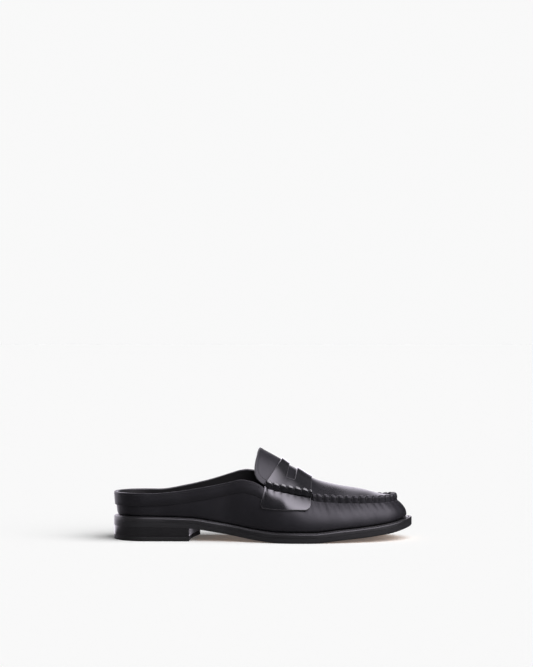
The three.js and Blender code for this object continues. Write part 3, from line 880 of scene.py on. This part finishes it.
def strap_tab(sign):
    """The tab on the outer (-1) or inner (1) side, up to a tuck under the ridge. Its grid is found on the
    set-off wall by stepping each point until, seen from the side, it lies at its share between the
    strap's rear and front lines. Under the ridge it puckers a little at each stitch."""
    columns = spread(tab_columns)[None, :]
    rows = (1 - np.cos(np.linspace(0, math.pi / 2, tab_rows)))[:, None]
    angle = np.full((tab_rows, tab_columns), math.acos(2 * 0.585 - 1))
    rise = 0.5 + 0.5 * rows + 0 * columns
    bottom_at = np.array([strap_rear["at"][0], strap_front["at"][0]])
    bottom_up = np.array([strap_rear["up"][0], strap_front["up"][0]])
    for _ in range(tab_rounds):
        turn = angle if sign > 0 else 2 * math.pi - angle
        spot = set_off(wall, turn, rise, strap_lift + 0 * angle)
        foot = foot_height(turn)
        tall = top_height(turn) - foot
        lowest = upper_foot(spot[..., 0]) + wall_height * np.interp(
            spot[..., 0] / shoe_length + 0.5, bottom_at, bottom_up)
        over_bottom = np.maximum(spot[..., 2] - lowest, 0)
        rear = rear_line(spot[..., 2])
        front = front_line(spot[..., 2])
        low = rear + corner_inset(over_bottom, rear_corner)
        high = front - corner_inset(over_bottom, front_corner)
        wanted = low + (high - low) * columns
        angle = angle - (wanted - spot[..., 0]) / (shoe_length / 2 * np.sin(angle))
        highest = 1 + tab_tuck / tall
        rise = np.clip(lower_rise(turn, lowest, foot, tall) * (1 - rows) + highest * rows, 0, highest)
    turn = angle if sign > 0 else 2 * math.pi - angle
    from_rear = spot[..., 0] - rear
    from_front = front - spot[..., 0]
    edge = np.where(columns < 0.5, to_corner(from_rear, over_bottom, rear_corner),
                    to_corner(from_front, over_bottom, front_corner))
    edge = np.maximum(edge, 0)
    below = (highest - rise) * tall
    pucker = tab_pucker * stitch_valley(run_at(turn)) * np.exp(-((below / tab_pucker_reach) ** 2))
    over = set_off(wall, turn, rise, strap_lift - rounded_off(edge, strap_edge) - pucker)
    under = set_off(wall, turn, rise, gap * 0.5 + 0 * edge)
    return *closed_sheet(over, under), np.tile(edge.ravel(), 2)


def strap_bridge():
    """Grid of the strap over the apron. Its columns run along the strap's two edges and the window's two
    sides, and its rows are drawn so that one row lies on each end of the window, found with Newton
    steps."""
    flank = spread(side_columns)
    window = spread(window_columns)
    column_part = np.concatenate([flank, window[1:] + 1, flank[1:] + 2])[None, :]
    hole_columns = (side_columns - 1, side_columns + window_columns - 2)

    def lines(height, bend):
        rear = rear_line(height)
        front = front_line(height)
        window_low = window_rear_line(height) + bend
        window_high = window_front_line(height) - bend
        first = rear + (window_low - rear) * np.clip(column_part, 0, 1)
        second = (window_high - window_low) * np.clip(column_part - 1, 0, 1)
        third = (front - window_high) * np.clip(column_part - 2, 0, 1)
        return first + second + third

    def settle(across, angle, bend):
        """Newton steps in the angle that bring each point to its place along the shoe."""
        for _ in range(bridge_rounds):
            spot = set_off(apron, across, angle, strap_lift + 0 * angle, bend_stride)
            near = set_off(apron, across, angle + first_stride, strap_lift + 0 * angle, bend_stride)
            slope = (near[..., 0] - spot[..., 0]) / first_stride
            step = (lines(spot[..., 2], bend) - spot[..., 0]) / slope
            angle = angle + np.clip(step, -longest_turn, longest_turn)
        return angle, spot

    ends = []
    for sign in (-1, 1):
        across = np.full(column_part.shape, 0.8 * sign)
        angle = np.full(column_part.shape, throat - 0.15)
        for _ in range(end_rounds):
            angle, spot = settle(across, angle, 0.0)
            near = set_off(apron, across + first_stride, angle, strap_lift + 0 * angle, bend_stride)
            slope = (near[..., 2] - spot[..., 2]) / first_stride
            level = np.interp(spot[..., 0] / shoe_length + 0.5, window_ends["at"], window_ends["up"])
            wanted = upper_foot(spot[..., 0]) + wall_height * level
            step = np.clip((wanted - spot[..., 2]) / slope, -longest_slide, longest_slide)
            across = np.clip(across + step, -0.97, 0.97)
        ends.append(across)
    outer_end, inner_end = ends
    side_share = spread(side_rows)[:, None]
    top_share = spread(top_rows)[:, None]
    across = np.vstack([
        -1 + (outer_end + 1) * side_share,
        (outer_end + (inner_end - outer_end) * top_share)[1:],
        (inner_end + (1 - inner_end) * side_share)[1:]])
    arc = across * half_arc
    hole_low = outer_end * half_arc
    hole_high = inner_end * half_arc
    past_end = np.minimum(np.abs(arc - hole_low), np.abs(arc - hole_high))
    bend = corner_inset(past_end, window_corner)
    angle, spot = settle(across, np.full(across.shape, throat - 0.15), bend)
    height = spot[..., 2]
    edge = np.minimum(spot[..., 0] - rear_line(height), front_line(height) - spot[..., 0])
    centre = (window_rear_line(height) + window_front_line(height)) / 2
    half = (window_front_line(height) - window_rear_line(height)) / 2
    beside = np.abs(spot[..., 0] - centre) - half + window_corner
    beyond = np.abs(arc - (hole_low + hole_high) / 2) - (hole_high - hole_low) / 2 + window_corner
    outside = np.hypot(np.maximum(beside, 0), np.maximum(beyond, 0))
    hole = outside + np.minimum(np.maximum(beside, beyond), 0) - window_corner
    edge = np.maximum(np.minimum(edge, hole), 0)
    over = set_off(apron, across, angle, strap_lift - rounded_off(edge, strap_edge), bend_stride)
    under = set_off(apron, across, angle, gap * 0.5 + 0 * edge, bend_stride)
    kept = np.ones((across.shape[0] - 1, across.shape[1] - 1), bool)
    kept[side_rows - 1:side_rows + top_rows - 2, hole_columns[0]:hole_columns[1]] = False
    return *closed_sheet(over, under, kept=kept), np.tile(edge.ravel(), 2)


strap_parts = [strap_tab(-1), strap_bridge(), strap_tab(1)]
strap_starts = np.cumsum([0] + [len(part[0]) for part in strap_parts[:-1]])
strap_points = np.vstack([part[0] for part in strap_parts])
strap_faces = np.vstack([part[1] + start for part, start in zip(strap_parts, strap_starts)])
strap_cut = np.clip(2 - np.concatenate([part[2] for part in strap_parts]) / cut_shows, 0, 1)
strap = make_piece("strap", strap_points, strap_faces, {"cut": strap_cut})
strap_black = (0.006, 0.006, 0.0075, 1)
strap_pale = (0.0085, 0.0085, 0.01, 1)
strap_leather = leather("strap_leather", strap_black, strap_pale, 0.2, 8e-6, coat=1.0)
finish_piece(strap, strap_leather, "strap_leather", "saddle")

# The lobes of the seam under the strap have a painted highlight on their crowns: a pale grey in their colour
# stands in for the glossy strap leather's reflection of the light overhead.
highlight_depth = 1.6
painted_highlight_grey = (0.18, 0.177, 0.185, 1)
# This finish puts the pale painted highlight grey where the cut mark lies on the lobes' crowns.
crown_highlight_leather = leather("crown_highlight_leather", strap_black, strap_pale, 0.2, 8e-6, coat=1.0, mark_colour=painted_highlight_grey)
for label, low, high in (("outer", rear_runs[0], front_runs[0]), ("inner", front_runs[1], rear_runs[1])):
    strap_ridge = sew_ridge("strap_ridge_" + label, low + seam_gap, high - seam_gap, strap_seam, highlight_depth)
    finish_piece(strap_ridge, crown_highlight_leather, "strap_leather")
    strap_thread = whip_stitches("strap_thread_" + label, low + 1, high - 1, strap_seam)
    finish_piece(strap_thread, waxed_thread, "strap_leather")

# Collar band
# A thin overlay of the same calf that binds the low topline round the back, from one edge of the strap to
# the other. Its lower edge is skived so the step is faint, and one row of fine stitches follows the top.

band_thickness = 1.0
band_width = 11.5
band_columns = 620
band_edge = 0.45
band_rounds = 30
band_step = 0.7
skive_depth = 0.95
skive_width = 6.0
skive_start = 0.25
skive_fade = 0.5


def band_grid(distance):
    """Angles and rises of the band: each row runs from the strap's rear edge on one side round to the
    other."""
    near_edge = np.array([0, 0.04, 0.15, 0.3, 0.5, 0.8])
    between = np.linspace(1.3, band_width - 1.3, 12)
    below = np.concatenate([near_edge, between, band_width - near_edge[::-1]])[:, None]
    ends = []
    for sign in (1, -1):
        angle = np.full(below.shape, throat + 0.05)
        for _ in range(band_rounds):
            turn = angle if sign > 0 else 2 * math.pi - angle
            rise = 1 - below / (top_height(turn) - foot_height(turn))
            spot = set_off(wall, turn, rise, distance + 0 * rise)
            wanted = rear_line(spot[..., 2]) - gap
            angle = angle - band_step * (wanted - spot[..., 0]) / (shoe_length / 2 * np.sin(angle))
        ends.append(turn)
    share = np.linspace(0, 1, band_columns)
    tight = 0.5 - 0.5 * np.cos(math.pi * share)
    share = (0.8 * share + 0.2 * tight)[None, :]
    turn = ends[0] + (ends[1] - ends[0]) * share
    rise = 1 - below / (top_height(turn) - foot_height(turn))
    return turn, rise, below + 0 * turn


band_turns, band_rises, band_below = band_grid(gap + band_thickness)
band_to_edge = np.minimum(band_below, band_width - band_below)
band_sides = np.clip((np.abs(band_turns - math.pi) - skive_start) / skive_fade, 0, 1)
skived = np.clip(1 - (band_width - band_below) / skive_width, 0, 1) ** 2
band_skive = skive_depth * band_sides * skived
band_over = set_off(wall, band_turns, band_rises,
                    gap + band_thickness - rounded_off(band_to_edge, band_edge) - band_skive)
band_under = set_off(wall, band_turns, band_rises, gap * 0.3 + 0 * band_turns)
collar_band = make_piece("collar_binding", *closed_sheet(band_over, band_under))
band_leather = leather("band_leather", wall_black, wall_pale, 0.42, 5e-5, shine=0.4)
finish_piece(collar_band, band_leather, "band_leather", "collar_band")

band_stitch_below = 2.2
row_turns = np.linspace(band_turns[0, 4], band_turns[0, -5], 4000)
row_rises = 1 - band_stitch_below / (top_height(row_turns) - foot_height(row_turns))
row_path = set_off(wall, row_turns, row_rises, gap + band_thickness + 0.02 + 0 * row_turns)
row_lift = row_path - set_off(wall, row_turns, row_rises, 0 * row_turns)
band_stitches = make_piece("band_stitches", *beads(row_path, row_lift, length=2.0, width=0.5, pitch=2.6))
finish_piece(band_stitches, fine_thread, "band_leather")

# Insole
# The footbed with its leather sock, glued down inside the wall: slightly dished under the foot, with a
# stitched border. Underneath it a cork filler fills the hollow inside the welt.

insole_thickness = 3.0
welt_reach = 12.0
insole_rise = 0.6
insole_dish = 0.7
dish_width = 5.0
bed_edge_radius = 0.8
bed_stations = 520
across_points = 24
bed_turns = turns_round(bed_stations)


def filled(ring):
    """Straight lines across a ring of points, each between the two stations that mirror each other."""
    count = len(ring)
    one = ring[-np.arange(count // 2 + 1) % count][:, None, :]
    other = ring[np.arange(count // 2 + 1)][:, None, :]
    share = np.linspace(0, 1, across_points)[None, :, None]
    grid = one * (1 - share) + other * share
    number = np.arange(grid[..., 0].size).reshape(grid.shape[:2])
    quads = quads_of(number).reshape(-1, 4)
    return grid.reshape(-1, 3), quads


def disc(rings):
    """Closed skin of a flat piece. Its rings of points run from the upper face out over the edge to the
    lower face, one column each, and both faces are filled with straight lines across."""
    stations, columns = rings.shape[:2]
    number = np.arange(stations * columns).reshape(stations, columns)
    number = np.vstack([number, number[:1]])
    band = quads_of(number.T).reshape(-1, 4)
    top_points, top_quads = filled(rings[:, 0])
    low_points, low_quads = filled(rings[:, -1])
    points = np.vstack([rings.reshape(-1, 3), top_points, low_points])
    top_start = stations * columns
    low_start = top_start + len(top_points)
    return points, np.vstack([band, top_quads[:, ::-1] + top_start, low_quads + low_start])


def at_height(rings, height):
    """The same points, moved up or down to a height."""
    return np.stack(np.broadcast_arrays(rings[..., 0], rings[..., 1], height), -1)


bed_insets = np.array([[6.0, 4.5, 3.0, 2.0, 1.2, 0.8, 0.5, 0.25, 0.08, 0.0]])
bed_rings = set_off(wall, bed_turns, 0 * bed_turns, -wall_thickness - gap * 0.5 - bed_insets)
bed_foot = upper_foot(bed_rings[..., 0])
bed_dish = insole_dish * np.sin(np.clip(bed_insets / dish_width, 0, 1) * math.pi / 2)
bed_top = bed_foot + insole_thickness + insole_rise - bed_dish - rounded_off(bed_insets, bed_edge_radius)
filler_insets = welt_reach + gap + np.array([[4.0, 0.0]])
filler_rings = np.stack([*outline(bed_turns, filler_insets), 0 * bed_turns + 0 * filler_insets], -1)
filler_top = at_height(filler_rings, upper_foot(filler_rings[..., 0]) + 0.2)
filler_low = at_height(filler_rings, welt_bottom(filler_rings[..., 0]))[:, ::-1]
bed_low = at_height(bed_rings, bed_foot + 0.05)[:, ::-1]
bed_points, bed_faces = disc(np.hstack([at_height(bed_rings, bed_top), bed_low]))
filler_points, filler_faces = disc(np.hstack([filler_top, filler_low]))
insole = make_piece("footbed", np.vstack([bed_points, filler_points]),
                    np.vstack([bed_faces, filler_faces + len(bed_points)]))
insole_black = (0.013, 0.0125, 0.013, 1)
insole_pale = (0.019, 0.018, 0.0185, 1)
insole_leather = leather("insole_leather", insole_black, insole_pale, 0.58, 7e-5)
finish_piece(insole, insole_leather, "insole_leather", "insole")

sock_border = 4.0
thread_sits = 0.02
border_turns = np.linspace(0, 2 * math.pi, 6000)
border_edge = set_off(wall, border_turns, 0 * border_turns, -wall_thickness - sock_border + 0 * border_turns)
border_path = border_edge.copy()
border_path[:, 2] = upper_foot(border_path[:, 0]) + insole_thickness + insole_rise - insole_dish + thread_sits
border_lift = np.tile([0.0, 0.0, 1.0], (len(border_path), 1))
border_beads = beads(border_path, border_lift, length=2.2, width=0.6, pitch=3.0)
insole_stitches = make_piece("insole_stitches", *border_beads)
finish_piece(insole_stitches, fine_thread, "insole_leather")

# Welt
# A strip of black leather round the whole shoe between the upper and the sole. It rises slightly to the
# upper, its outer edge is trimmed round and waxed, and a row of stitches lies in a groove on its ledge.

welt_edge_radius = 0.7
groove_share = 0.5
groove_depth = 0.3
groove_half = 0.55


def loop_band(rings):
    """Closed skin of a band: rings of points round the shoe, in order round the band's own section."""
    rows, columns = rings.shape[:2]
    number = np.arange(rows * columns).reshape(rows, columns)
    number = np.vstack([number, number[:1]])
    number = np.hstack([number, number[:, :1]])
    quads = quads_of(number).reshape(-1, 4)
    return rings.reshape(-1, 3), quads


welt_ledge = ledge_at(wall_turns)
quarter = np.linspace(0, math.pi / 2, 6)[None, :]
welt_joint = 0.24
bevel_in = 0.15
bevel_down = 0.08
round_in = welt_edge_radius * (1 - np.cos(quarter))
round_down = welt_edge_radius * (1 - np.sin(quarter))
ledge_shares = np.linspace(0.12, 1.12, 22)[None, :]
welt_insets = np.hstack([
    welt_reach + 0 * wall_turns, bevel_in + 0 * wall_turns, 0 * wall_turns, round_in + 0 * wall_turns,
    np.maximum(welt_ledge * ledge_shares, welt_edge_radius + 0.1), welt_reach + 0 * wall_turns])
welt_along, welt_across = outline(wall_turns, welt_insets)
from_groove = np.abs(welt_ledge * ledge_shares - welt_ledge * groove_share)
groove = groove_depth * np.exp(-((from_groove / groove_half) ** 2))
slope = welt_slope * np.clip(welt_insets / welt_ledge, 0, 1)
fall = np.hstack([0 * wall_turns, 0 * wall_turns, 0 * wall_turns, round_down + 0 * wall_turns, groove,
                  0 * wall_turns])
welt_heights = welt_edge(welt_along) + slope - fall
low_heights = welt_bottom(welt_along) - welt_joint
welt_heights[:, 0] = low_heights[:, 0]
welt_heights[:, 1] = low_heights[:, 1]
welt_heights[:, 2] = low_heights[:, 2] + bevel_down
welt = make_piece("welt_strip", *loop_band(np.stack([welt_along, welt_across, welt_heights], -1)))
welt_black = (0.0125, 0.0122, 0.0135, 1)
welt_pale = (0.019, 0.0184, 0.02, 1)
welt_leather = leather("welt_leather", welt_black, welt_pale, 0.34, 3e-5, shine=0.75)
finish_piece(welt, welt_leather, "welt_leather", "welt")

breast_at = 0.272
breast_turn = math.acos(2 * breast_at - 1)
sewn_turns = np.linspace(-breast_turn, breast_turn, 6000) % (2 * math.pi)
sewn_along, sewn_across = outline(sewn_turns, ledge_at(sewn_turns) * groove_share)
sewn_heights = welt_edge(sewn_along) + welt_slope * groove_share - groove_depth + 0.12
sewn_path = np.stack([sewn_along, sewn_across, sewn_heights], -1)
sewn_lift = np.tile([0.0, 0.0, 1.0], (len(sewn_path), 1))
welt_beads = beads(sewn_path, sewn_lift, length=2.5, width=0.75, pitch=3.1)
welt_stitches = make_piece("welt_stitches", *welt_beads)
finish_piece(welt_stitches, fine_thread, "welt_leather")

# Outsole
# A thin leather sole. Its edge is trimmed square, inked black and burnished; the underside is left the
# natural tan of oak-bark leather, with the closed channel of the sole stitching running round inside its
# edge.

sole_edge_radius = 1.5
heel_edge_radius = 0.1
channel_inset = 5.5
channel_depth = 0.35
channel_half = 0.5
ink_reach = 1.3
sole_ink = (0.019, 0.0184, 0.0205, 1)
tan_dark = (0.36, 0.19, 0.085, 1)
tan_light = (0.5, 0.29, 0.14, 1)
tan_stain = (0.42, 0.22, 0.1, 1)
in_front = np.clip((share_along(wall_turns) - 0.29) / 0.08, 0, 1)
edge_share = in_front * in_front * (3 - 2 * in_front)
edge_radius = heel_edge_radius + (sole_edge_radius - heel_edge_radius) * edge_share
flat_insets = np.concatenate([np.linspace(1.8, 11.0, 37), [11.5, welt_reach]])[None, :] + 0 * wall_turns
sole_insets = np.hstack([edge_radius * (1 - np.cos(quarter)), flat_insets])
sole_along, sole_across = outline(wall_turns, sole_insets)
channel = channel_depth * np.exp(-(((flat_insets - channel_inset) / channel_half) ** 2))
ring_rise = np.hstack([edge_radius * (1 - np.sin(quarter)), channel])
bottom_rings = np.stack([sole_along, sole_across, sole_bottom(sole_along) + ring_rise], -1)
top_insets = np.array([[welt_reach, 6.0, bevel_in, 0.0]])
top_drop = np.array([[0.0, 0.0, 0.0, bevel_down]])
top_along, top_across = outline(wall_turns, top_insets)
top_rings = np.stack([top_along, top_across, sole_top(top_along) - top_drop], -1)
sole_points, sole_faces = disc(np.hstack([top_rings, bottom_rings]))
ring_marks = np.hstack([np.zeros((len(wall_turns), 4)), sole_insets])
deep_marks = np.full(len(sole_points) - ring_marks.size, sole_insets[0, -1])
inset_mark = np.concatenate([ring_marks.ravel(), deep_marks])
outsole = make_piece("leather_sole", sole_points, sole_faces, {"inset": inset_mark})


def sole_finish():
    """Tan sole leather with a long fibre grain and pores, turning to black burnished ink at its edge."""
    material, shader, start = start_material("sole_leather", {"Specular IOR Level": 0.45})
    place = start.node("ShaderNodeTexCoord", output="Object")
    stretched = start.node("ShaderNodeMapping", {"vector_type": "POINT"},
                           {"Vector": place, "Scale": (0.25, 1.0, 1.0)})
    fibre = start.node("ShaderNodeTexNoise", inputs={"Vector": stretched, "Scale": 420.0, "Detail": 5.0})
    broad = start.node("ShaderNodeTexNoise", inputs={"Vector": place, "Scale": 28.0, "Detail": 3.0})
    pores = start.node("ShaderNodeTexVoronoi", inputs={"Vector": place, "Scale": 1500.0})
    inset = start.node("ShaderNodeAttribute", {"attribute_name": "inset"}, output="Fac")
    ragged = inset + (broad - 0.5) * 0.9 + (fibre - 0.5) * 0.5
    bare = smooth_between(ragged, ink_reach - 0.25, ink_reach + 0.25)
    tan = blend_colours(smooth_between(fibre, 0.25, 0.75), tan_dark, tan_light)
    tan = blend_colours(smooth_between(broad, 0.35, 0.8) * 0.5, tan, tan_stain)
    feed(shader, "Base Color", blend_colours(bare, sole_ink, tan))
    feed(shader, "Roughness", bare * 0.22 + fibre * 0.1 + 0.3)
    feed(shader, "Normal", start.node("ShaderNodeBump", inputs={
        "Distance": 6e-5, "Height": fibre * 0.8 + pores * 0.4}))
    return material


finish_piece(outsole, sole_finish(), "sole_leather", "outsole")

# Heel
# A low heel of stacked leather lifts, nailed together, trimmed flush with the sole and glazed black. Its
# front, the breast, is cut slightly hollow and on a slant.

heel_inset = 0.2
top_lift_thickness = 4.0
breast_skew = 3.0
breast_hollow = 2.0
round_points = 260
breast_points = 60
heel_edge = 0.2
stack_black = (0.0105, 0.01, 0.0112, 1)
stack_pale = (0.014, 0.0134, 0.0148, 1)
deep_inset = 12.0


def heel_ring(inset):
    """The heel's outline seen from above: the sole's outline drawn in by an inset, cut off in front by
    the breast, a parabola on a slant that is moved back by the same inset."""
    breast_half = ball_width / 2 * half_share(breast_at)

    def breast(across):
        share = across / breast_half
        return ((breast_at - 0.5) * shoe_length + breast_skew * share
                - breast_hollow * (1 - share**2) - (inset - heel_inset))

    sweep = np.linspace(0.9, math.pi, 4000)
    corners = []
    for sign in (-1, 1):
        turn = sweep if sign > 0 else 2 * math.pi - sweep
        along, across = outline(turn, inset)
        corners.append(np.interp(0, (breast(across) - along), turn))
    bend = corners[0] + (corners[1] - corners[0]) * np.linspace(0, 1, round_points)
    along, across = outline(bend, inset)
    front_across = across[-1] + (across[0] - across[-1]) * np.linspace(0, 1, breast_points + 2)[1:-1]
    return np.concatenate([along, breast(front_across)]), np.concatenate([across, front_across])


def heel_block(name, section, top_at):
    """A closed block from rings: each row of the section is an inset and a height share, and the first
    and last rings are drawn together into a point in the heel's middle."""
    rings = []
    for inset, share, rise in section:
        along, across = heel_ring(inset)
        rings.append(np.stack([along, across, top_at(along) * share + rise], -1))
    return make_piece(name, *closed_tube(np.array(rings)))


# Rows of the stack, as inset, share of its height and a rise: a narrow rounded edge below, and a hairline
# joint with the sole above.
heel_bottom = top_lift_thickness
heel_rows = [(deep_inset, 0, heel_bottom), (heel_inset + heel_edge, 0, heel_bottom),
             (heel_inset + 0.3 * heel_edge, 0, heel_bottom + 0.3 * heel_edge),
             (heel_inset, 0, heel_bottom + heel_edge), (heel_inset, 1, -0.12), (heel_inset + 0.1, 1, 0),
             (deep_inset, 1, 0)]
heel = heel_block("heel_stack", heel_rows, lambda along: sole_bottom(along) - 0.04)


def stacked_finish():
    """Glazed black edge of stacked leather: fine level lines from the fibres, and a clear wax coat."""
    material, shader, start = start_material("stacked_leather", {
        "Specular IOR Level": 0.5, "Coat Weight": 0.35, "Coat Roughness": 0.18})
    place = start.node("ShaderNodeTexCoord", output="Object")
    flat = start.node("ShaderNodeMapping", {"vector_type": "POINT"},
                      {"Vector": place, "Scale": (1.0, 1.0, 9.0)})
    level = start.node("ShaderNodeTexNoise", inputs={"Vector": flat, "Scale": 160.0, "Detail": 4.0})
    broad = start.node("ShaderNodeTexNoise", inputs={"Vector": place, "Scale": 60.0, "Detail": 2.0})
    feed(shader, "Base Color", blend_colours(smooth_between(level, 0.3, 0.7), stack_black, stack_pale))
    feed(shader, "Roughness", broad * 0.12 + level * 0.08 + 0.2)
    feed(shader, "Normal", start.node("ShaderNodeBump", inputs={"Distance": 5e-5, "Height": level}))
    return material


finish_piece(heel, stacked_finish(), "heel_leather", "heel")

# Top lift
# The wearing piece under the heel: a moulded rubber plate, matt and dead black, with a rounded lower
# edge.

rubber_black = (0.009, 0.009, 0.0095, 1)
rubber_grey = (0.016, 0.016, 0.0165, 1)
lift_top = top_lift_thickness - 0.12
lift_rows = [(deep_inset, 0, 0.0), (heel_inset + 0.7, 0, 0.0), (heel_inset + 0.25, 0, 0.12),
             (heel_inset, 0, 0.6), (heel_inset, 0, top_lift_thickness - 0.35),
             (heel_inset + 0.2, 0, lift_top), (deep_inset, 0, lift_top)]
top_lift = heel_block("rubber_lift", lift_rows, lambda along: 0 * along)


def rubber_finish():
    """Matt rubber: a fine speckle in its surface, and nothing that shines."""
    material, shader, start = start_material("heel_rubber", {"Specular IOR Level": 0.35})
    place = start.node("ShaderNodeTexCoord", output="Object")
    speckle = start.node("ShaderNodeTexNoise", inputs={"Vector": place, "Scale": 1400.0, "Detail": 3.0})
    feed(shader, "Base Color", blend_colours(speckle, rubber_black, rubber_grey))
    feed(shader, "Roughness", speckle * 0.1 + 0.6)
    feed(shader, "Normal", start.node("ShaderNodeBump", inputs={"Distance": 8e-5, "Height": speckle}))
    return material


finish_piece(top_lift, rubber_finish(), "heel_rubber", "top_lift")

# Studio
# A pale floor that runs out into a plain background of the same tone. The leather mirrors a softbox in
# front towards the toe, the backdrop and a strip overhead, and one wide lamp casts the soft shadow. The
# camera stands low at the outer side.

floor_size = 60.0
floor_tone = 0.945
floor_paint = 0.9
floor_glow = 0.085

# Matt pale acrylic that takes the shoe's soft shadow, and is lit a little from below.
floor_acrylic = start_material("floor_acrylic", {
    "Base Color": (floor_paint, floor_paint, floor_paint, 1), "Roughness": 1.0, "Specular IOR Level": 0.0,
    "Emission Color": (1, 1, 1, 1), "Emission Strength": floor_glow})[0]
floor_mesh = bpy.data.meshes.new("floor")
half_floor = floor_size / 2
floor_corners = [(-half_floor, -half_floor, 0), (half_floor, -half_floor, 0),
                 (half_floor, half_floor, 0), (-half_floor, half_floor, 0)]
floor_mesh.from_pydata(floor_corners, [], [(0, 1, 2, 3)])
floor = bpy.data.objects.new("floor", floor_mesh)
bpy.context.scene.collection.objects.link(floor)
floor.data.materials.append(floor_acrylic)
floor.visible_glossy = False

# The room as the leather mirrors it. Overhead is the angle over the horizon from the camera's side, on
# past the zenith to the far side, and across is the share of a direction that points to the toe.
softbox_glow = 4.6
backdrop_glow = 1.9
strip_glow = 3.2
ceiling_glow = 0.1
dim = 0.065


def between_degrees(turn, low, high):
    return smooth_between(turn, math.radians(low), math.radians(high))


world = bpy.data.worlds.new("studio")
bpy.context.scene.world = world
world.use_nodes = True
world.cycles_visibility.diffuse = False
room = Wire(world.node_tree)
way = room.node("ShaderNodeTexCoord", output="Generated")
across = room.node("ShaderNodeSeparateXYZ", inputs={"Vector": way}, output="X")
ahead = room.node("ShaderNodeSeparateXYZ", inputs={"Vector": way}, output="Y")
upward = room.node("ShaderNodeSeparateXYZ", inputs={"Vector": way}, output="Z")
overhead = room.math("ARCTAN2", upward, ahead * -1)
high_enough = between_degrees(overhead + across * 0.25, 18, 50)
softbox = high_enough * (1 - between_degrees(overhead - across * 0.5, 42, 80))
softbox = softbox * smooth_between(across + overhead * 0.03, -0.055, 0.075)
softbox = softbox * (1 - smooth_between(across, 0.8, 1.0))
behind = room.math("ARCTAN2", upward, room.math("ABSOLUTE", ahead))
far_side = smooth_between(ahead, 0.0, 0.1)
backdrop = far_side * (1 - between_degrees(behind, 30, 50)) * between_degrees(behind, -14, -9)
backdrop = backdrop * (1 - smooth_between(across, 0.06, 0.26))
strip = between_degrees(overhead, 60, 85) * (1 - between_degrees(overhead, 150, 170))
strip = strip * smooth_between(across, -0.2, -0.06) * (1 - smooth_between(across, 0.0, 0.14))
ceiling = between_degrees(overhead, 50, 70) * (1 - between_degrees(overhead, 120, 140))
far_light = room.math("MAXIMUM", strip * strip_glow, backdrop * backdrop_glow)
light = softbox * softbox_glow + far_light + ceiling * ceiling_glow + dim
seen = room.node("ShaderNodeLightPath", output="Is Camera Ray")
strength = seen * floor_tone + (1 - seen) * light
tint = blend_colours(seen, (1.03, 0.97, 1.1, 1), (1, 1, 1, 1))
background = world.node_tree.nodes["Background"]
world.node_tree.links.new(strength.socket, background.inputs["Strength"])
world.node_tree.links.new(tint.socket, background.inputs["Color"])

# The light that the floor's soft shadow comes from: very wide and far away, high in front, towards the
# toe.
key_strength = 4.0425
key_width = math.radians(80)
key_tilt = math.radians(42)
key_turn = math.radians(58)
key_light = bpy.data.lights.new("key", "SUN")
key_light.energy = key_strength
key_light.angle = key_width
key = bpy.data.objects.new("key", key_light)
key.rotation_euler = (key_tilt, 0.0, key_turn)
key.visible_glossy = False
bpy.context.scene.collection.objects.link(key)

camera_distance = 1.677
camera_height = 0.1842
camera_axis = 0.0034
camera_yaw = math.radians(2.0)
focal_pixels = 1862.0
frame_pixels_high = 667.0
camera_data = bpy.data.cameras.new("camera")
camera = bpy.data.objects.new("camera", camera_data)
bpy.context.scene.collection.objects.link(camera)
camera.location = (camera_axis + camera_distance * math.sin(camera_yaw),
                   -camera_distance * math.cos(camera_yaw), camera_height)
camera.rotation_euler = (math.pi / 2, 0.0, camera_yaw)
camera_data.sensor_width = 36.0
camera_data.sensor_fit = "AUTO"
camera_data.lens = camera_data.sensor_width * focal_pixels / frame_pixels_high
camera_data.clip_end = 100.0
bpy.context.scene.camera = camera
bpy.context.scene.view_settings.view_transform = "Standard"
